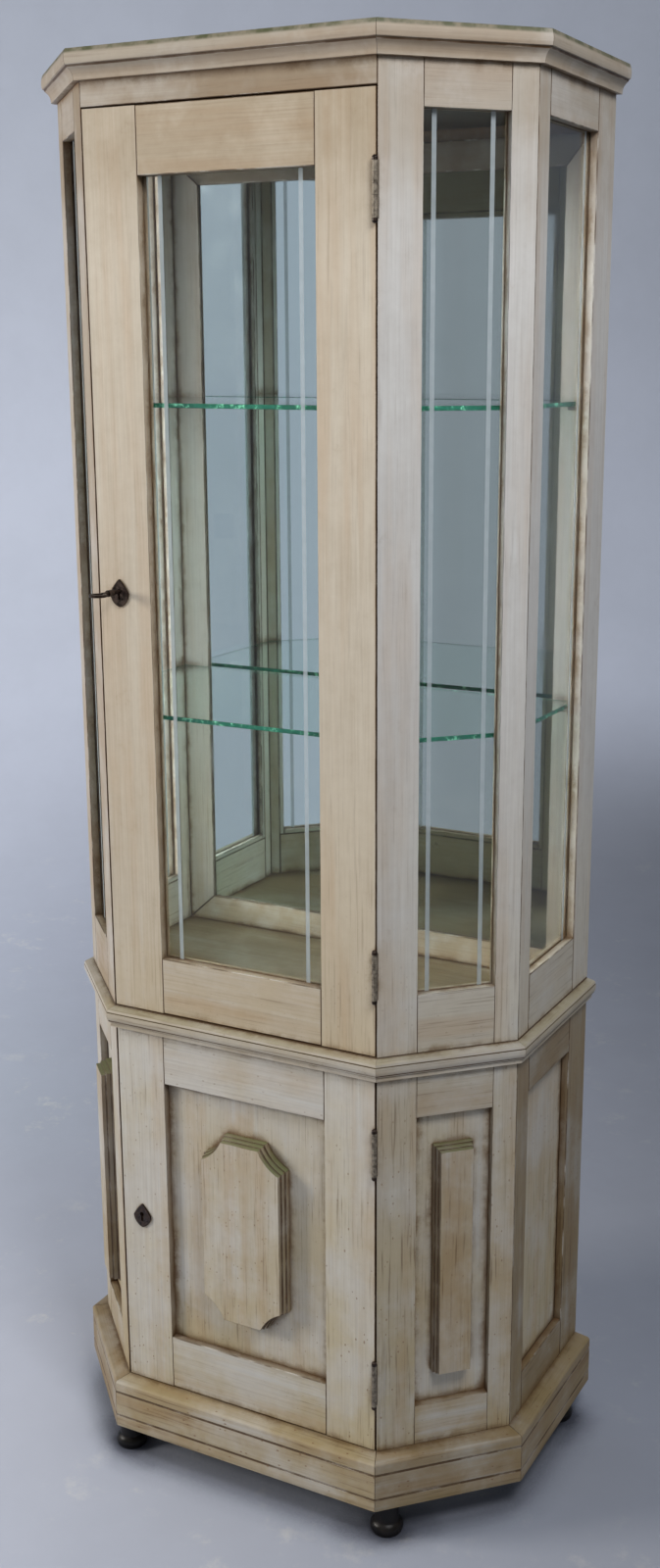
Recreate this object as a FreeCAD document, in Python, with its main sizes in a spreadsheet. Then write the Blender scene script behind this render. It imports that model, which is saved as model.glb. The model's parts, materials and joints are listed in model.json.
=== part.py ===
import FreeCAD, Part
import math
import os
import Sketcher

# Display cabinet: a glazed case with canted front corners on a cupboard of the same plan,
# on a moulded plinth and four turned feet.
# Frame: millimetres, +Z up from the floor, front towards -Y,
# origin in the middle of the base of the whole object's box.

Vector = FreeCAD.Vector
Rotation = FreeCAD.Rotation

# Driving sizes, in millimetres and degrees, each with what it measures.
SIZES = {
    "body_depth": (415, "case, from door face to back"),
    "front_width": (420, "flat front between the canted corners"),
    "cant_angle": (45, "canted corner, turned from the front"),
    "foot_height": (52, "floor to plinth"),
    "plinth_height": (79, "plinth board, with its sloped top"),
    "lower_height": (566, "cupboard frames, plinth to deck"),
    "deck_thick": (31, "deck between cupboard and glazed case"),
    "upper_height": (1252, "glazed frames, deck to top board"),
    "top_thick": (20, "top board"),
    "frame_thick": (24, "stiles and rails, front to back"),
    "pane_setback": (12, "outer face of a frame to its pane or panel"),
    "rebate_width": (8, "rebate round a pane or panel"),
    "edge_clearance": (1, "pane or panel edge to the rebate's wall"),
    "glass_thick": (4, "window glass"),
    "panel_thick": (8, "wooden panel"),
    "cant_front_stile": (57, "cant frame, stile beside the door"),
    "cant_opening_width": (110.2, "cant frame, clear between its stiles"),
    "cant_rear_stile": (35, "cant frame, stile beside the side"),
    "upper_side_front_stile": (37, "upper side frame, front stile"),
    "upper_side_rear_stile": (65, "upper side frame, rear stile"),
    "lower_side_front_stile": (44, "lower side frame, front stile"),
    "lower_side_rear_stile": (70, "lower side frame, rear stile"),
    "upper_top_rail": (70, "upper frames, top rail"),
    "upper_bottom_rail": (82, "upper frames, bottom rail"),
    "lower_top_rail": (63, "lower frames, top rail"),
    "lower_bottom_rail": (61, "lower frames, bottom rail"),
    "door_thick": (24, "door stiles and rails"),
    "door_gap": (1.5, "door to the wood over and under it"),
    "upper_side_gap": (2, "upper door to the stiles beside it"),
    "lower_side_gap": (2.6, "lower door to the stiles beside it"),
    "fascia_height": (48, "rail over the upper door"),
    "upper_door_stile": (81, "upper door, stiles"),
    "upper_door_top_rail": (83, "upper door, top rail"),
    "upper_door_bottom_rail": (82, "upper door, bottom rail"),
    "lower_door_stile": (77, "lower door, stiles"),
    "lower_door_top_rail": (75, "lower door, top rail"),
    "lower_door_bottom_rail": (83, "lower door, bottom rail"),
    "plaque_width": (135, "door plaque, over its border"),
    "plaque_height": (288, "door plaque, over its border"),
    "plaque_thick": (24, "door plaque, proud of its panel"),
    "plaque_border": (4.5, "door plaque, moulded border"),
    "scoop_radius": (60.2, "door plaque, hollow of each scooped corner"),
    "scoop_offset": (22, "centre of a scoop, out beyond the corner both ways"),
    "cant_plaque_width": (56, "cant plaque, over its border"),
    "cant_plaque_margin": (47, "cant plaque to the rails over and under it"),
    "cant_plaque_thick": (24, "cant plaque, proud of its panel"),
    "cant_plaque_border": (4.5, "cant plaque, moulded border"),
    "plinth_overhang": (24, "plinth, proud of the case"),
    "plinth_thick": (46, "plinth boards, outside to inside"),
    "plinth_back_thick": (20, "rear board of the plinth"),
    "plinth_low_groove": (19, "plinth, foot of its board to the lower groove"),
    "plinth_high_groove": (58, "plinth, foot of its board to the upper groove"),
    "groove_depth": (1.5, "plinth, its grooves, which are twice as wide"),
    "ledge_drop": (3, "plinth, fall of its sloped top"),
    "nose_radius": (6, "plinth, rounding of its upper edge"),
    "nose_height": (4, "plinth, height and depth of that rounding"),
    "base_thick": (18, "floor of the cupboard"),
    "waist_height": (30, "waist moulding"),
    "waist_overhang": (14, "waist moulding, proud of the case"),
    "waist_ledge_drop": (3.5, "waist moulding, fall of its sloped top"),
    "waist_bead_low": (7, "waist moulding, foot to the rounded bead"),
    "waist_ledge_inset": (1.5, "waist moulding, edge of its ledge, in from the bead"),
    "waist_bead_inset": (3.5, "waist moulding, lower edge of the bead"),
    "waist_bead_radius": (20.5, "waist moulding, rounding of the bead"),
    "waist_fillet_fall": (1, "waist moulding, bead down to the fillet"),
    "waist_fillet_inset": (6, "waist moulding, fillet under the bead"),
    "cove_height": (17, "cornice, from its foot to the rounded band"),
    "cornice_foot": (8, "cornice foot, proud of the case"),
    "cornice_overhang": (19.6, "cornice band, proud of the case"),
    "cornice_top_inset": (2.5, "cornice band, its upper edge"),
    "cornice_low_inset": (1, "cornice band, its lower edge"),
    "cornice_band_radius": (27, "cornice band, rounding of its face"),
    "cove_radius": (15.3, "cornice, hollow of its cove"),
    "cornice_fillet": (2.5, "cornice, flat at its foot"),
    "cornice_step": (4, "cornice, foot of the band to the top of the cove"),
    "cornice_step_height": (2, "cornice, flat over the cove"),
    "back_thick": (12, "back boards"),
    "ceiling_thick": (12, "ceiling board of the glazed case"),
    "ceiling_stop_gap": (0.5, "shut door to the ceiling board's edge"),
    "mirror_bar": (39, "mirror frame, width of a bar"),
    "mirror_bar_thick": (20, "mirror frame, front to back"),
    "mirror_splay": (11, "mirror frame, how far its bars slope back"),
    "mirror_outer_flat": (8, "mirror frame, flat along its outer edge"),
    "mirror_inner_flat": (5, "mirror frame, flat along its inner edge"),
    "mirror_rebate": (8, "mirror frame, rebate behind its inner edge"),
    "mirror_thick": (4, "mirror glass"),
    "mirror_back_gap": (0.5, "mirror glass to the back of its frame"),
    "mirror_drop": (17, "ceiling to the top of the mirror frame"),
    "shelf_thick": (6, "glass shelf"),
    "shelf_side_gap": (3, "glass shelf to the frames beside it"),
    "shelf_front_gap": (12, "back of the door to the glass shelf"),
    "lower_shelf_rise": (418, "deck to the underside of the lower shelf"),
    "upper_shelf_rise": (835.5, "deck to the underside of the upper shelf"),
    "peg_radius": (3, "shelf peg"),
    "peg_length": (14, "shelf peg, out from the frame"),
    "front_peg_inset": (41, "front shelf peg, in from the door side of its stile"),
    "rear_peg_inset": (53.3, "rear shelf peg, in from the back"),
    "foot_base_radius": (20.5, "turned foot, on the floor"),
    "foot_neck_radius": (17.5, "turned foot, neck"),
    "foot_ring_low": (3, "turned foot, floor to its rounded ring"),
    "foot_ring_low_radius": (22.5, "turned foot, lower edge of the ring"),
    "foot_ring_high": (19, "turned foot, floor to the top of the ring"),
    "foot_ring_high_radius": (18, "turned foot, upper edge of the ring"),
    "foot_ring_rounding": (12, "turned foot, rounding of the ring"),
    "foot_fillet": (2, "turned foot, ring up to the neck"),
    "foot_collar": (2, "turned foot, collar under the plinth, proud of the neck"),
    "foot_collar_height": (5, "turned foot, collar"),
    "foot_collar_slope": (2, "turned foot, slope under the collar"),
    "foot_side_inset": (37, "rear foot centre, in from the plinth's side"),
    "foot_end_inset": (38, "foot centres, in from the plinth's front and back"),
    "hinge_height": (64, "hinge, over its knuckles"),
    "hinge_leaf_width": (24, "hinge leaf, from the pin inwards"),
    "hinge_leaf_thick": (1.7, "hinge leaf"),
    "hinge_leaf_gap": (0.6, "between the closed leaves"),
    "knuckle_radius": (3.75, "hinge knuckle"),
    "knuckle_clearance": (0.3, "knuckle to the door's face and to its neighbour"),
    "pin_radius": (1.6, "hinge pin"),
    "pin_clearance": (0.05, "hinge pin in its knuckles, on the radius"),
    "finial_height": (6, "ball end of a hinge pin"),
    "finial_tip_radius": (1.1, "flat tip of that ball end"),
    "upper_hinge_inset": (113, "upper door's end to the middle of its hinge"),
    "lower_hinge_inset": (106, "lower door's end to the middle of its hinge"),
    "upper_key_rise": (594.5, "upper door's bottom edge to its keyhole"),
    "lower_key_rise": (274, "lower door's bottom edge to its keyhole"),
    "key_backset": (32.5, "door's edge to its keyhole"),
    "key_reach": (61, "key, out from the door's face"),
    "key_shank_radius": (2.9, "key shank"),
    "key_bow_radius": (11.5, "ring of the key's bow"),
    "key_bow_thick": (3.6, "key's bow"),
    "key_bow_hole": (6.9, "radius of the hole in the key's bow"),
    "key_shank_lap": (2.3, "key's shank into the ring of its bow"),
    "key_clearance": (0.4, "key shank to the holes round it"),
    "bit_radius": (10.5, "key's bit, from the shank's centre"),
    "bit_thick": (2.4, "key's bit, across its flat sides"),
    "bit_length": (5, "key's bit, along the shank"),
    "bit_setback": (1, "key's bit, back from the tip of the shank"),
    "collar_length": (10, "key's collar, along the shank"),
    "collar_proud": (1.6, "key's collar, proud of the shank"),
    "neck_length": (10, "key's neck, between bow and collar"),
    "escutcheon_width": (29, "keyhole plate"),
    "escutcheon_above": (18.9, "keyhole plate, over its widest point"),
    "escutcheon_below": (18.1, "keyhole plate, under its widest point"),
    "escutcheon_low_radius": (20.4, "keyhole plate, its lower edges"),
    "escutcheon_high_radius": (66.6, "keyhole plate, its upper edges"),
    "escutcheon_thick": (2.5, "keyhole plate"),
    "escutcheon_drop": (2.8, "keyhole plate, its widest point below the keyhole"),
    "lock_width": (48, "lock case, in from the door's edge"),
    "lock_thick": (11, "lock case, let into the back of the door"),
    "lock_wall": (1.5, "walls of the lock case"),
    "lock_below": (15, "lock case, below the keyhole"),
    "lock_above": (29, "lock case, above the keyhole"),
    "bolt_rise": (11.5, "keyhole's centre to the bolt's underside"),
    "bolt_height": (14, "lock bolt"),
    "bolt_thick": (5, "lock bolt"),
    "bolt_travel": (8, "lock bolt, shot out into the stile"),
    "bolt_clearance": (0.3, "lock bolt to what is round it"),
    "bolt_tail_gap": (0.9, "drawn bolt to the end of its case"),
    "strike_gap": (1.8, "shot bolt to the end of the hole that takes it"),
}

doc = FreeCAD.newDocument("display_cabinet")
sheet = doc.addObject("Spreadsheet::Sheet", "dims")
for row, (alias, (amount, meaning)) in enumerate(SIZES.items(), start=1):
    sheet.set("A%d" % row, meaning)
    sheet.set("B%d" % row, str(amount))
    sheet.setAlias("B%d" % row, alias)
plan = doc.addObject("App::VarSet", "plan")


class Size:
    """A number that keeps its formula, so that a feature can be bound to it."""

    def __init__(self, value, formula):
        self.value = float(value)
        self.formula = formula

    def join(self, sign, other, value):
        return Size(value, "(%s %s %s)" % (self.formula, sign, other.formula))

    def __add__(self, other):
        other = as_size(other)
        return self.join("+", other, self.value + other.value)

    def __sub__(self, other):
        other = as_size(other)
        return self.join("-", other, self.value - other.value)

    def __mul__(self, other):
        other = as_size(other)
        return self.join("*", other, self.value * other.value)

    def __truediv__(self, other):
        other = as_size(other)
        return self.join("/", other, self.value / other.value)

    def __radd__(self, other):
        return as_size(other) + self

    def __rsub__(self, other):
        return as_size(other) - self

    def __rmul__(self, other):
        return as_size(other) * self

    def __neg__(self):
        return as_size(0) - self


def as_size(item):
    """Takes a plain number as well as a Size."""
    if isinstance(item, Size):
        return item
    return Size(item, "(%r)" % float(item))


def sine(angle):
    return Size(math.sin(math.radians(angle.value)), "sin(%s)" % angle.formula)


def cosine(angle):
    return Size(math.cos(math.radians(angle.value)), "cos(%s)" % angle.formula)


def tangent(angle):
    return sine(angle) / cosine(angle)


def root(item):
    return Size(math.sqrt(item.value), "sqrt(%s)" % item.formula)


def size(alias):
    """A driving size from the sheet."""
    return Size(SIZES[alias][0], "dims." + alias)


def named(name, item):
    """Keeps a worked-out size under a name of its own in the document."""
    plan.addProperty("App::PropertyFloat", name, "Plan")
    plan.setExpression(name, item.formula)
    return Size(item.value, "plan." + name)


# Plan of the case. The key stands furthest forward, so it sets where the front lies in the box.
body_depth = size("body_depth")
front_width = size("front_width")
cant_angle = size("cant_angle")
frame_thick = size("frame_thick")
door_thick = size("door_thick")
front_y = named("front_y", (size("key_reach") - body_depth) / 2)
back_y = named("back_y", front_y + body_depth)
cant_opening_end = size("cant_front_stile") + size("cant_opening_width")
cant_length = named("cant_length", cant_opening_end + size("cant_rear_stile"))
cant_depth = named("cant_depth", cant_length * sine(cant_angle))
half_front = named("half_front", front_width / 2)
half_body = named("half_body", half_front + cant_length * cosine(cant_angle))
side_length = named("side_length", body_depth - cant_depth)
front_mitre = named("front_mitre", tangent(cant_angle / 2))
side_mitre = named("side_mitre", tangent((90 - cant_angle) / 2))

# Levels from the floor up.
plinth_bottom = size("foot_height")
plinth_top = named("plinth_top", plinth_bottom + size("plinth_height"))
deck_bottom = named("deck_bottom", plinth_top + size("lower_height"))
deck_top = named("deck_top", deck_bottom + size("deck_thick"))
frames_top = named("frames_top", deck_top + size("upper_height"))
cabinet_top = named("cabinet_top", frames_top + size("top_thick"))
fascia_bottom = named("fascia_bottom", frames_top - size("fascia_height"))


class Face:
    """A run of the case's outline: s goes along it from its first corner, d goes inwards."""

    def __init__(self, x, y, turn, length=None):
        self.x = as_size(x)
        self.y = as_size(y)
        self.turn = as_size(turn)
        self.length = length

    def at(self, s, d):
        """Plan position of the point s along the face and d behind it."""
        s = as_size(s)
        d = as_size(d)
        x = self.x + s * cosine(self.turn) - d * sine(self.turn)
        y = self.y + s * sine(self.turn) + d * cosine(self.turn)
        return x, y


front_face = Face(-half_front, front_y, 0, front_width)
cant_face = Face(half_front, front_y, cant_angle, cant_length)
side_face = Face(half_body, front_y + cant_depth, 90, side_length)
middle = Face(0, front_y, 0)
world = Face(0, 0, 0)

subparts = {}


def subpart(name, item):
    """Registers a finished piece: its Label names its node and its file."""
    item.Label = name
    subparts[name] = item
    return item


def bind(item, **formulas):
    for key, amount in formulas.items():
        item.setExpression(key, as_size(amount).formula)


def place(item, face, s, d, z):
    """Puts an item's own corner at s, d and z of a face, turned with it."""
    x, y = face.at(s, d)
    upright = Vector(0, 0, 1)
    item.Placement = FreeCAD.Placement(Vector(x.value, y.value, as_size(z).value),
                                       Rotation(upright, face.turn.value))
    item.setExpression(".Placement.Base.x", x.formula)
    item.setExpression(".Placement.Base.y", y.formula)
    item.setExpression(".Placement.Base.z", as_size(z).formula)
    item.setExpression(".Placement.Rotation.Angle", face.turn.formula)
    return item


def board(name, face, s, d, z):
    """A straight board between two places along, behind and above a face."""
    item = doc.addObject("Part::Box", name)
    bind(item, Length=as_size(s[1]) - s[0], Width=as_size(d[1]) - d[0], Height=as_size(z[1]) - z[0])
    return place(item, face, s[0], d[0], z[0])


UPWARDS = Rotation()
OUTWARDS = Rotation(Vector(1, 0, 0), 90)
INWARDS = Rotation(Vector(1, 0, 0), -90)


def rod(name, radius, start, direction, length):
    """A round bar from a point, in one of the directions above."""
    item = doc.addObject("Part::Cylinder", name)
    bind(item, Radius=radius, Height=length)
    item.Placement = FreeCAD.Placement(Vector(*[as_size(c).value for c in start]), direction)
    for axis, amount in zip("xyz", start):
        item.setExpression(".Placement.Base." + axis, as_size(amount).formula)
    return item


def fuse(name, items):
    item = doc.addObject("Part::MultiFuse", name)
    item.Shapes = items
    item.Refine = True
    return item


def cut(name, base, tools):
    """Takes the tools away from the base. Each one has to remove something, see finish()."""
    tool = tools[0]
    if len(tools) > 1:
        tool = group(name + "_tools", tools)
    item = doc.addObject("Part::Cut", name)
    item.Base = base
    item.Tool = tool
    return item


def common(name, first, second):
    item = doc.addObject("Part::Common", name)
    item.Base = first
    item.Tool = second
    return item


def group(name, items):
    """Separate solids that share one node."""
    item = doc.addObject("Part::Compound", name)
    item.Links = items
    return item


def mirrored(name, source):
    """The same piece on the other side of the cabinet."""
    item = doc.addObject("Part::Mirroring", name)
    item.Source = source
    item.Base = Vector(0, 0, 0)
    item.Normal = Vector(1, 0, 0)
    return item


class Corner:
    """A corner of an outline. With a radius, the edge that arrives here is an arc:
    hollow=True bends it into the outline, which runs counter-clockwise."""

    def __init__(self, x, y, radius=None, hollow=False):
        self.x = as_size(x)
        self.y = as_size(y)
        self.radius = radius
        self.hollow = hollow

    def point(self):
        return Vector(self.x.value, self.y.value, 0)


def arc_between(start, end, radius, hollow):
    """The short arc between two points, and whether it is drawn from its end."""
    chord = end - start
    across = Vector(-chord.y, chord.x, 0).normalize()
    if hollow:
        across = across * -1
    half = chord.Length / 2
    centre = (start + end) * 0.5 + across * math.sqrt(radius ** 2 - half ** 2)
    first, last = (end, start) if hollow else (start, end)
    angles = [math.atan2(p.y - centre.y, p.x - centre.x) for p in (first, last)]
    circle = Part.Circle(centre, Vector(0, 0, 1), radius)
    return Part.ArcOfCircle(circle, angles[0], angles[1])


def draw(body, name, plane, corners):
    """A closed sketch on a plane of the body, each corner dimensioned from the origin."""
    sketch = body.newObject("Sketcher::SketchObject", name)
    base = [item for item in body.Origin.OriginFeatures if item.Role == plane][0]
    sketch.AttachmentSupport = (base, [""])
    sketch.MapMode = "FlatFace"
    corners = [c if isinstance(c, Corner) else Corner(*c) for c in corners]
    count = len(corners)
    ends = []
    for index, here in enumerate(corners):
        there = corners[(index + 1) % count]
        if there.radius is None:
            sketch.addGeometry(Part.LineSegment(here.point(), there.point()), False)
            ends.append((1, 2))
        else:
            radius = as_size(there.radius)
            arc = arc_between(here.point(), there.point(), radius.value, there.hollow)
            sketch.addGeometry(arc, False)
            ends.append((2, 1) if there.hollow else (1, 2))
            number = sketch.addConstraint(Sketcher.Constraint("Radius", index, radius.value))
            sketch.setExpression("Constraints[%d]" % number, radius.formula)
    for index, here in enumerate(corners):
        after = (index + 1) % count
        sketch.addConstraint(
            Sketcher.Constraint("Coincident", index, ends[index][1], after, ends[after][0]))
        for kind, amount in (("DistanceX", here.x), ("DistanceY", here.y)):
            rule = Sketcher.Constraint(kind, -1, 1, index, ends[index][0], amount.value)
            number = sketch.addConstraint(rule)
            sketch.setExpression("Constraints[%d]" % number, amount.formula)
    return sketch


def pad(body, sketch, length, reverse=False):
    feature = body.newObject("PartDesign::Pad", sketch.Name + "_pad")
    feature.Profile = sketch
    feature.Reversed = reverse
    bind(feature, Length=length)
    body.Tip = feature
    return feature


def column(name, face, corners, z):
    """An upright piece: its plan along s and d of a face, drawn up between two levels."""
    body = doc.addObject("PartDesign::Body", name)
    pad(body, draw(body, name + "_plan", "XY_Plane", corners), as_size(z[1]) - z[0])
    return place(body, face, 0, 0, z[0])


def bar(name, face, section, s, z=0):
    """A level piece: its section in d and z of a face, drawn along s."""
    body = doc.addObject("PartDesign::Body", name)
    pad(body, draw(body, name + "_section", "YZ_Plane", section), as_size(s[1]) - s[0])
    return place(body, face, s[0], 0, z)


def relief(name, face, layers, s, z):
    """A stack of flat outlines, each drawn outwards: (corners, from depth, out to depth)."""
    bodies = []
    for number, (corners, inner, outer) in enumerate(layers):
        body = doc.addObject("PartDesign::Body", "%s_%d" % (name, number))
        pad(body, draw(body, body.Name + "_outline", "XZ_Plane", corners), inner - outer)
        bodies.append(place(body, face, s, inner, z))
    return fuse(name, bodies)


def turned(name, profile, x, y, z):
    """A piece turned about its own upright axis: radius and height of its profile."""
    body = doc.addObject("PartDesign::Body", name)
    sketch = draw(body, name + "_profile", "XZ_Plane", profile)
    feature = body.newObject("PartDesign::Revolution", name + "_turning")
    feature.Profile = sketch
    feature.ReferenceAxis = (sketch, ["V_Axis"])
    feature.Angle = 360
    body.Tip = feature
    return place(body, Face(x, y, 0), 0, 0, z)


def outline(inset, front_inset=None, back_inset=0):
    """Plan corners of the case, moved in from its faces, counter-clockwise from front left."""
    inset = as_size(inset)
    depth = inset if front_inset is None else as_size(front_inset)
    along = (depth - inset * cosine(cant_angle)) / sine(cant_angle)
    front_x, front_line = cant_face.at(along, inset)
    corner_x, corner_y = side_face.at(inset * side_mitre, inset)
    rear = back_y - back_inset
    right = [(front_x, front_line), (corner_x, corner_y), (corner_x, rear)]
    left = [(-x, y) for x, y in reversed(right)]
    return right + left


def slab(name, corners, z):
    return column(name, world, corners, z)


# Stiles, rails, panes and panels.
pane_setback = size("pane_setback")
rebate = size("rebate_width")
edge_clearance = size("edge_clearance")


def stile(name, face, s, z, opens, bevel=None):
    """A stile with a rebate behind the edge that faces the opening ("left" or "right").
    The other edge is square, or bevelled by bevel for each unit of depth."""
    s0, s1 = as_size(s[0]), as_size(s[1])
    slope = as_size(0 if bevel is None else bevel)
    if opens == "right":
        corners = [(s0, 0), (s1, 0), (s1, pane_setback), (s1 - rebate, pane_setback),
                   (s1 - rebate, frame_thick), (s0 + frame_thick * slope, frame_thick)]
    else:
        corners = [(s0, 0), (s1, 0), (s1 - frame_thick * slope, frame_thick),
                   (s0 + rebate, frame_thick), (s0 + rebate, pane_setback), (s0, pane_setback)]
    return column(name, face, corners, z)


def rail(name, face, s, z, opens):
    """A rail with a rebate behind the edge that faces the opening ("up" or "down").
    Its rear half reaches into the rebates of both stiles."""
    z0, z1 = as_size(z[0]), as_size(z[1])
    shows = board(name + "_front", face, s, (0, pane_setback), (z0, z1))
    if opens == "up":
        rear_z = (z0, z1 - rebate)
    else:
        rear_z = (z0 + rebate, z1)
    rear_s = (as_size(s[0]) - rebate, as_size(s[1]) + rebate)
    rear = board(name + "_rear", face, rear_s, (pane_setback, frame_thick), rear_z)
    return fuse(name, [shows, rear])


def filling(name, face, s, z, thick):
    """A pane or panel that sits in the rebate round an opening."""
    lap = rebate - edge_clearance
    return board(name, face, (as_size(s[0]) - lap, as_size(s[1]) + lap),
                 (pane_setback, pane_setback + thick), (as_size(z[0]) - lap, as_size(z[1]) + lap))


def beads(name, face, s, z, glass):
    """Four strips that hold a pane in its rebate from inside."""
    s0, s1 = as_size(s[0]), as_size(s[1])
    z0, z1 = as_size(z[0]), as_size(z[1])
    d = (pane_setback + glass, frame_thick)
    return [board(name + "_low", face, (s0, s1), d, (z0 - rebate, z0)),
            board(name + "_high", face, (s0, s1), d, (z1, z1 + rebate)),
            board(name + "_first", face, (s0 - rebate, s0), d, (z0 - rebate, z1 + rebate)),
            board(name + "_last", face, (s1, s1 + rebate), d, (z0 - rebate, z1 + rebate))]


glass_thick = size("glass_thick")
panel_thick = size("panel_thick")
square_cant = tangent(cant_angle)
upper_z = (deck_top, frames_top)
lower_z = (plinth_top, deck_bottom)
upper_opening_z = (named("pane_bottom", deck_top + size("upper_bottom_rail")),
                   named("pane_top", frames_top - size("upper_top_rail")))
lower_opening_z = (named("panel_bottom", plinth_top + size("lower_bottom_rail")),
                   named("panel_top", deck_bottom - size("lower_top_rail")))
cant_opening = (size("cant_front_stile"), cant_opening_end)
upper_side_opening = (size("upper_side_front_stile"),
                      side_length - size("upper_side_rear_stile"))
lower_side_opening = (size("lower_side_front_stile"),
                      side_length - size("lower_side_rear_stile"))


def frame(name, face, opening, z, opening_z, bevels):
    """Two stiles and two rails round an opening of a face of the right-hand side."""
    first = stile(name + "_first_stile", face, (0, opening[0]), z, "right", bevels[0])
    last = stile(name + "_last_stile", face, (opening[1], face.length), z, "left", bevels[1])
    low = rail(name + "_low_rail", face, opening, (z[0], opening_z[0]), "up")
    high = rail(name + "_high_rail", face, opening, (opening_z[1], z[1]), "down")
    return [first, last, low, high]


# Hinges. The pin stands in front of the gap between a door and the right cant stile.
knuckle_radius = size("knuckle_radius")
knuckle_clearance = size("knuckle_clearance")
leaf_thick = size("hinge_leaf_thick")
leaf_width = size("hinge_leaf_width")
half_leaf_gap = size("hinge_leaf_gap") / 2
hinge_height = size("hinge_height")
pin_radius = size("pin_radius")
bore_radius = named("bore_radius", pin_radius + size("pin_clearance"))
finial_height = size("finial_height")
pin_y = named("pin_y", front_y - knuckle_radius - knuckle_clearance)
leaf_start = named("leaf_start", pin_y + knuckle_radius + knuckle_clearance)
leaf_end = named("leaf_end", pin_y + leaf_width)
KNUCKLES = 5
knuckle_pitch = hinge_height / KNUCKLES


class Hinge:
    """One butt hinge: where its pin stands and the leaves on either side of the gap."""

    def __init__(self, name, pin_x, middle_z):
        self.name = name
        self.pin_x = pin_x
        self.bottom = middle_z - hinge_height / 2
        self.top = middle_z + hinge_height / 2

    def leaf_x(self, side):
        near = self.pin_x + half_leaf_gap * side
        far = near + leaf_thick * side
        return (near, far) if side > 0 else (far, near)

    def mortise(self, side):
        """The recess in the wood that takes the plate of one leaf."""
        name = "%s_%s_mortise" % (self.name, "case" if side > 0 else "door")
        return board(name, world, self.leaf_x(side), (leaf_start, leaf_end),
                     (self.bottom, self.top))

    def leaf(self, side):
        """The leaf on the case has knuckles 1, 3 and 5, the one on the door 2 and 4."""
        name = "%s_%s_leaf" % (self.name, "case" if side > 0 else "door")
        across = self.leaf_x(side)
        shapes = [board(name + "_plate", world, across, (leaf_start, leaf_end),
                        (self.bottom, self.top))]
        for number in range(0 if side > 0 else 1, KNUCKLES, 2):
            low = self.bottom + knuckle_pitch * number + knuckle_clearance / 2
            high = self.bottom + knuckle_pitch * (number + 1) - knuckle_clearance / 2
            tag = "%s_%d" % (name, number)
            shapes.append(board(tag + "_web", world, across, (pin_y, leaf_start), (low, high)))
            start = (self.pin_x, pin_y, low)
            shapes.append(rod(tag + "_knuckle", knuckle_radius, start, UPWARDS, high - low))
        start = (self.pin_x, pin_y, self.bottom)
        bore = rod(name + "_bore", bore_radius, start, UPWARDS, self.top - self.bottom)
        return cut(name, fuse(name + "_body", shapes), [bore])

    def pin(self):
        """A pin with a ball end above and below the knuckles."""
        ball = knuckle_radius
        half = hinge_height / 2
        foot = half + finial_height
        tip = size("finial_tip_radius")
        profile = [(0, -foot), (tip, -foot), Corner(ball, -half - finial_height / 2, ball),
                   (ball, -half), (pin_radius, -half), (pin_radius, half), (ball, half),
                   (ball, half + finial_height / 2), Corner(tip, foot, ball), (0, foot)]
        return turned(self.name + "_pin", profile, self.pin_x, pin_y, self.bottom + half)


class Door:
    """Edges of a door in the front opening, and its two hinges."""

    def __init__(self, name, side_gap, z, hinge_inset, key_rise):
        self.name = name
        self.half = named(name + "_half", half_front - side_gap)
        self.bottom = named(name + "_bottom", z[0] + size("door_gap"))
        self.top = named(name + "_top", z[1] - size("door_gap"))
        self.key_x = named(name + "_key_x", size("key_backset") - self.half)
        self.key_z = named(name + "_key_z", self.bottom + key_rise)
        self.pin_x = named(name + "_pin_x", half_front - side_gap / 2)
        self.hinges = [Hinge(name + "_low_hinge", self.pin_x, self.bottom + hinge_inset),
                       Hinge(name + "_high_hinge", self.pin_x, self.top - hinge_inset)]


upper_door = Door("upper_door", size("upper_side_gap"), (deck_top, fascia_bottom),
                  size("upper_hinge_inset"), size("upper_key_rise"))
lower_door = Door("lower_door", size("lower_side_gap"), (plinth_top, deck_bottom),
                  size("lower_hinge_inset"), size("lower_key_rise"))

# Locks, let into the back of each door's left stile.
lock_wall = size("lock_wall")
lock_back = named("lock_back", front_y + door_thick)
lock_front = named("lock_front", lock_back - size("lock_thick"))
bolt_thick = size("bolt_thick")
bolt_clearance = size("bolt_clearance")
bolt_middle = named("bolt_middle", (lock_front + lock_back) / 2)
key_hole_radius = size("key_shank_radius") + size("key_clearance")
bit_thick = size("bit_thick")
half_slot = bit_thick / 2 + size("key_clearance")
slot_depth = size("bit_radius") + size("key_clearance")


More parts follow.
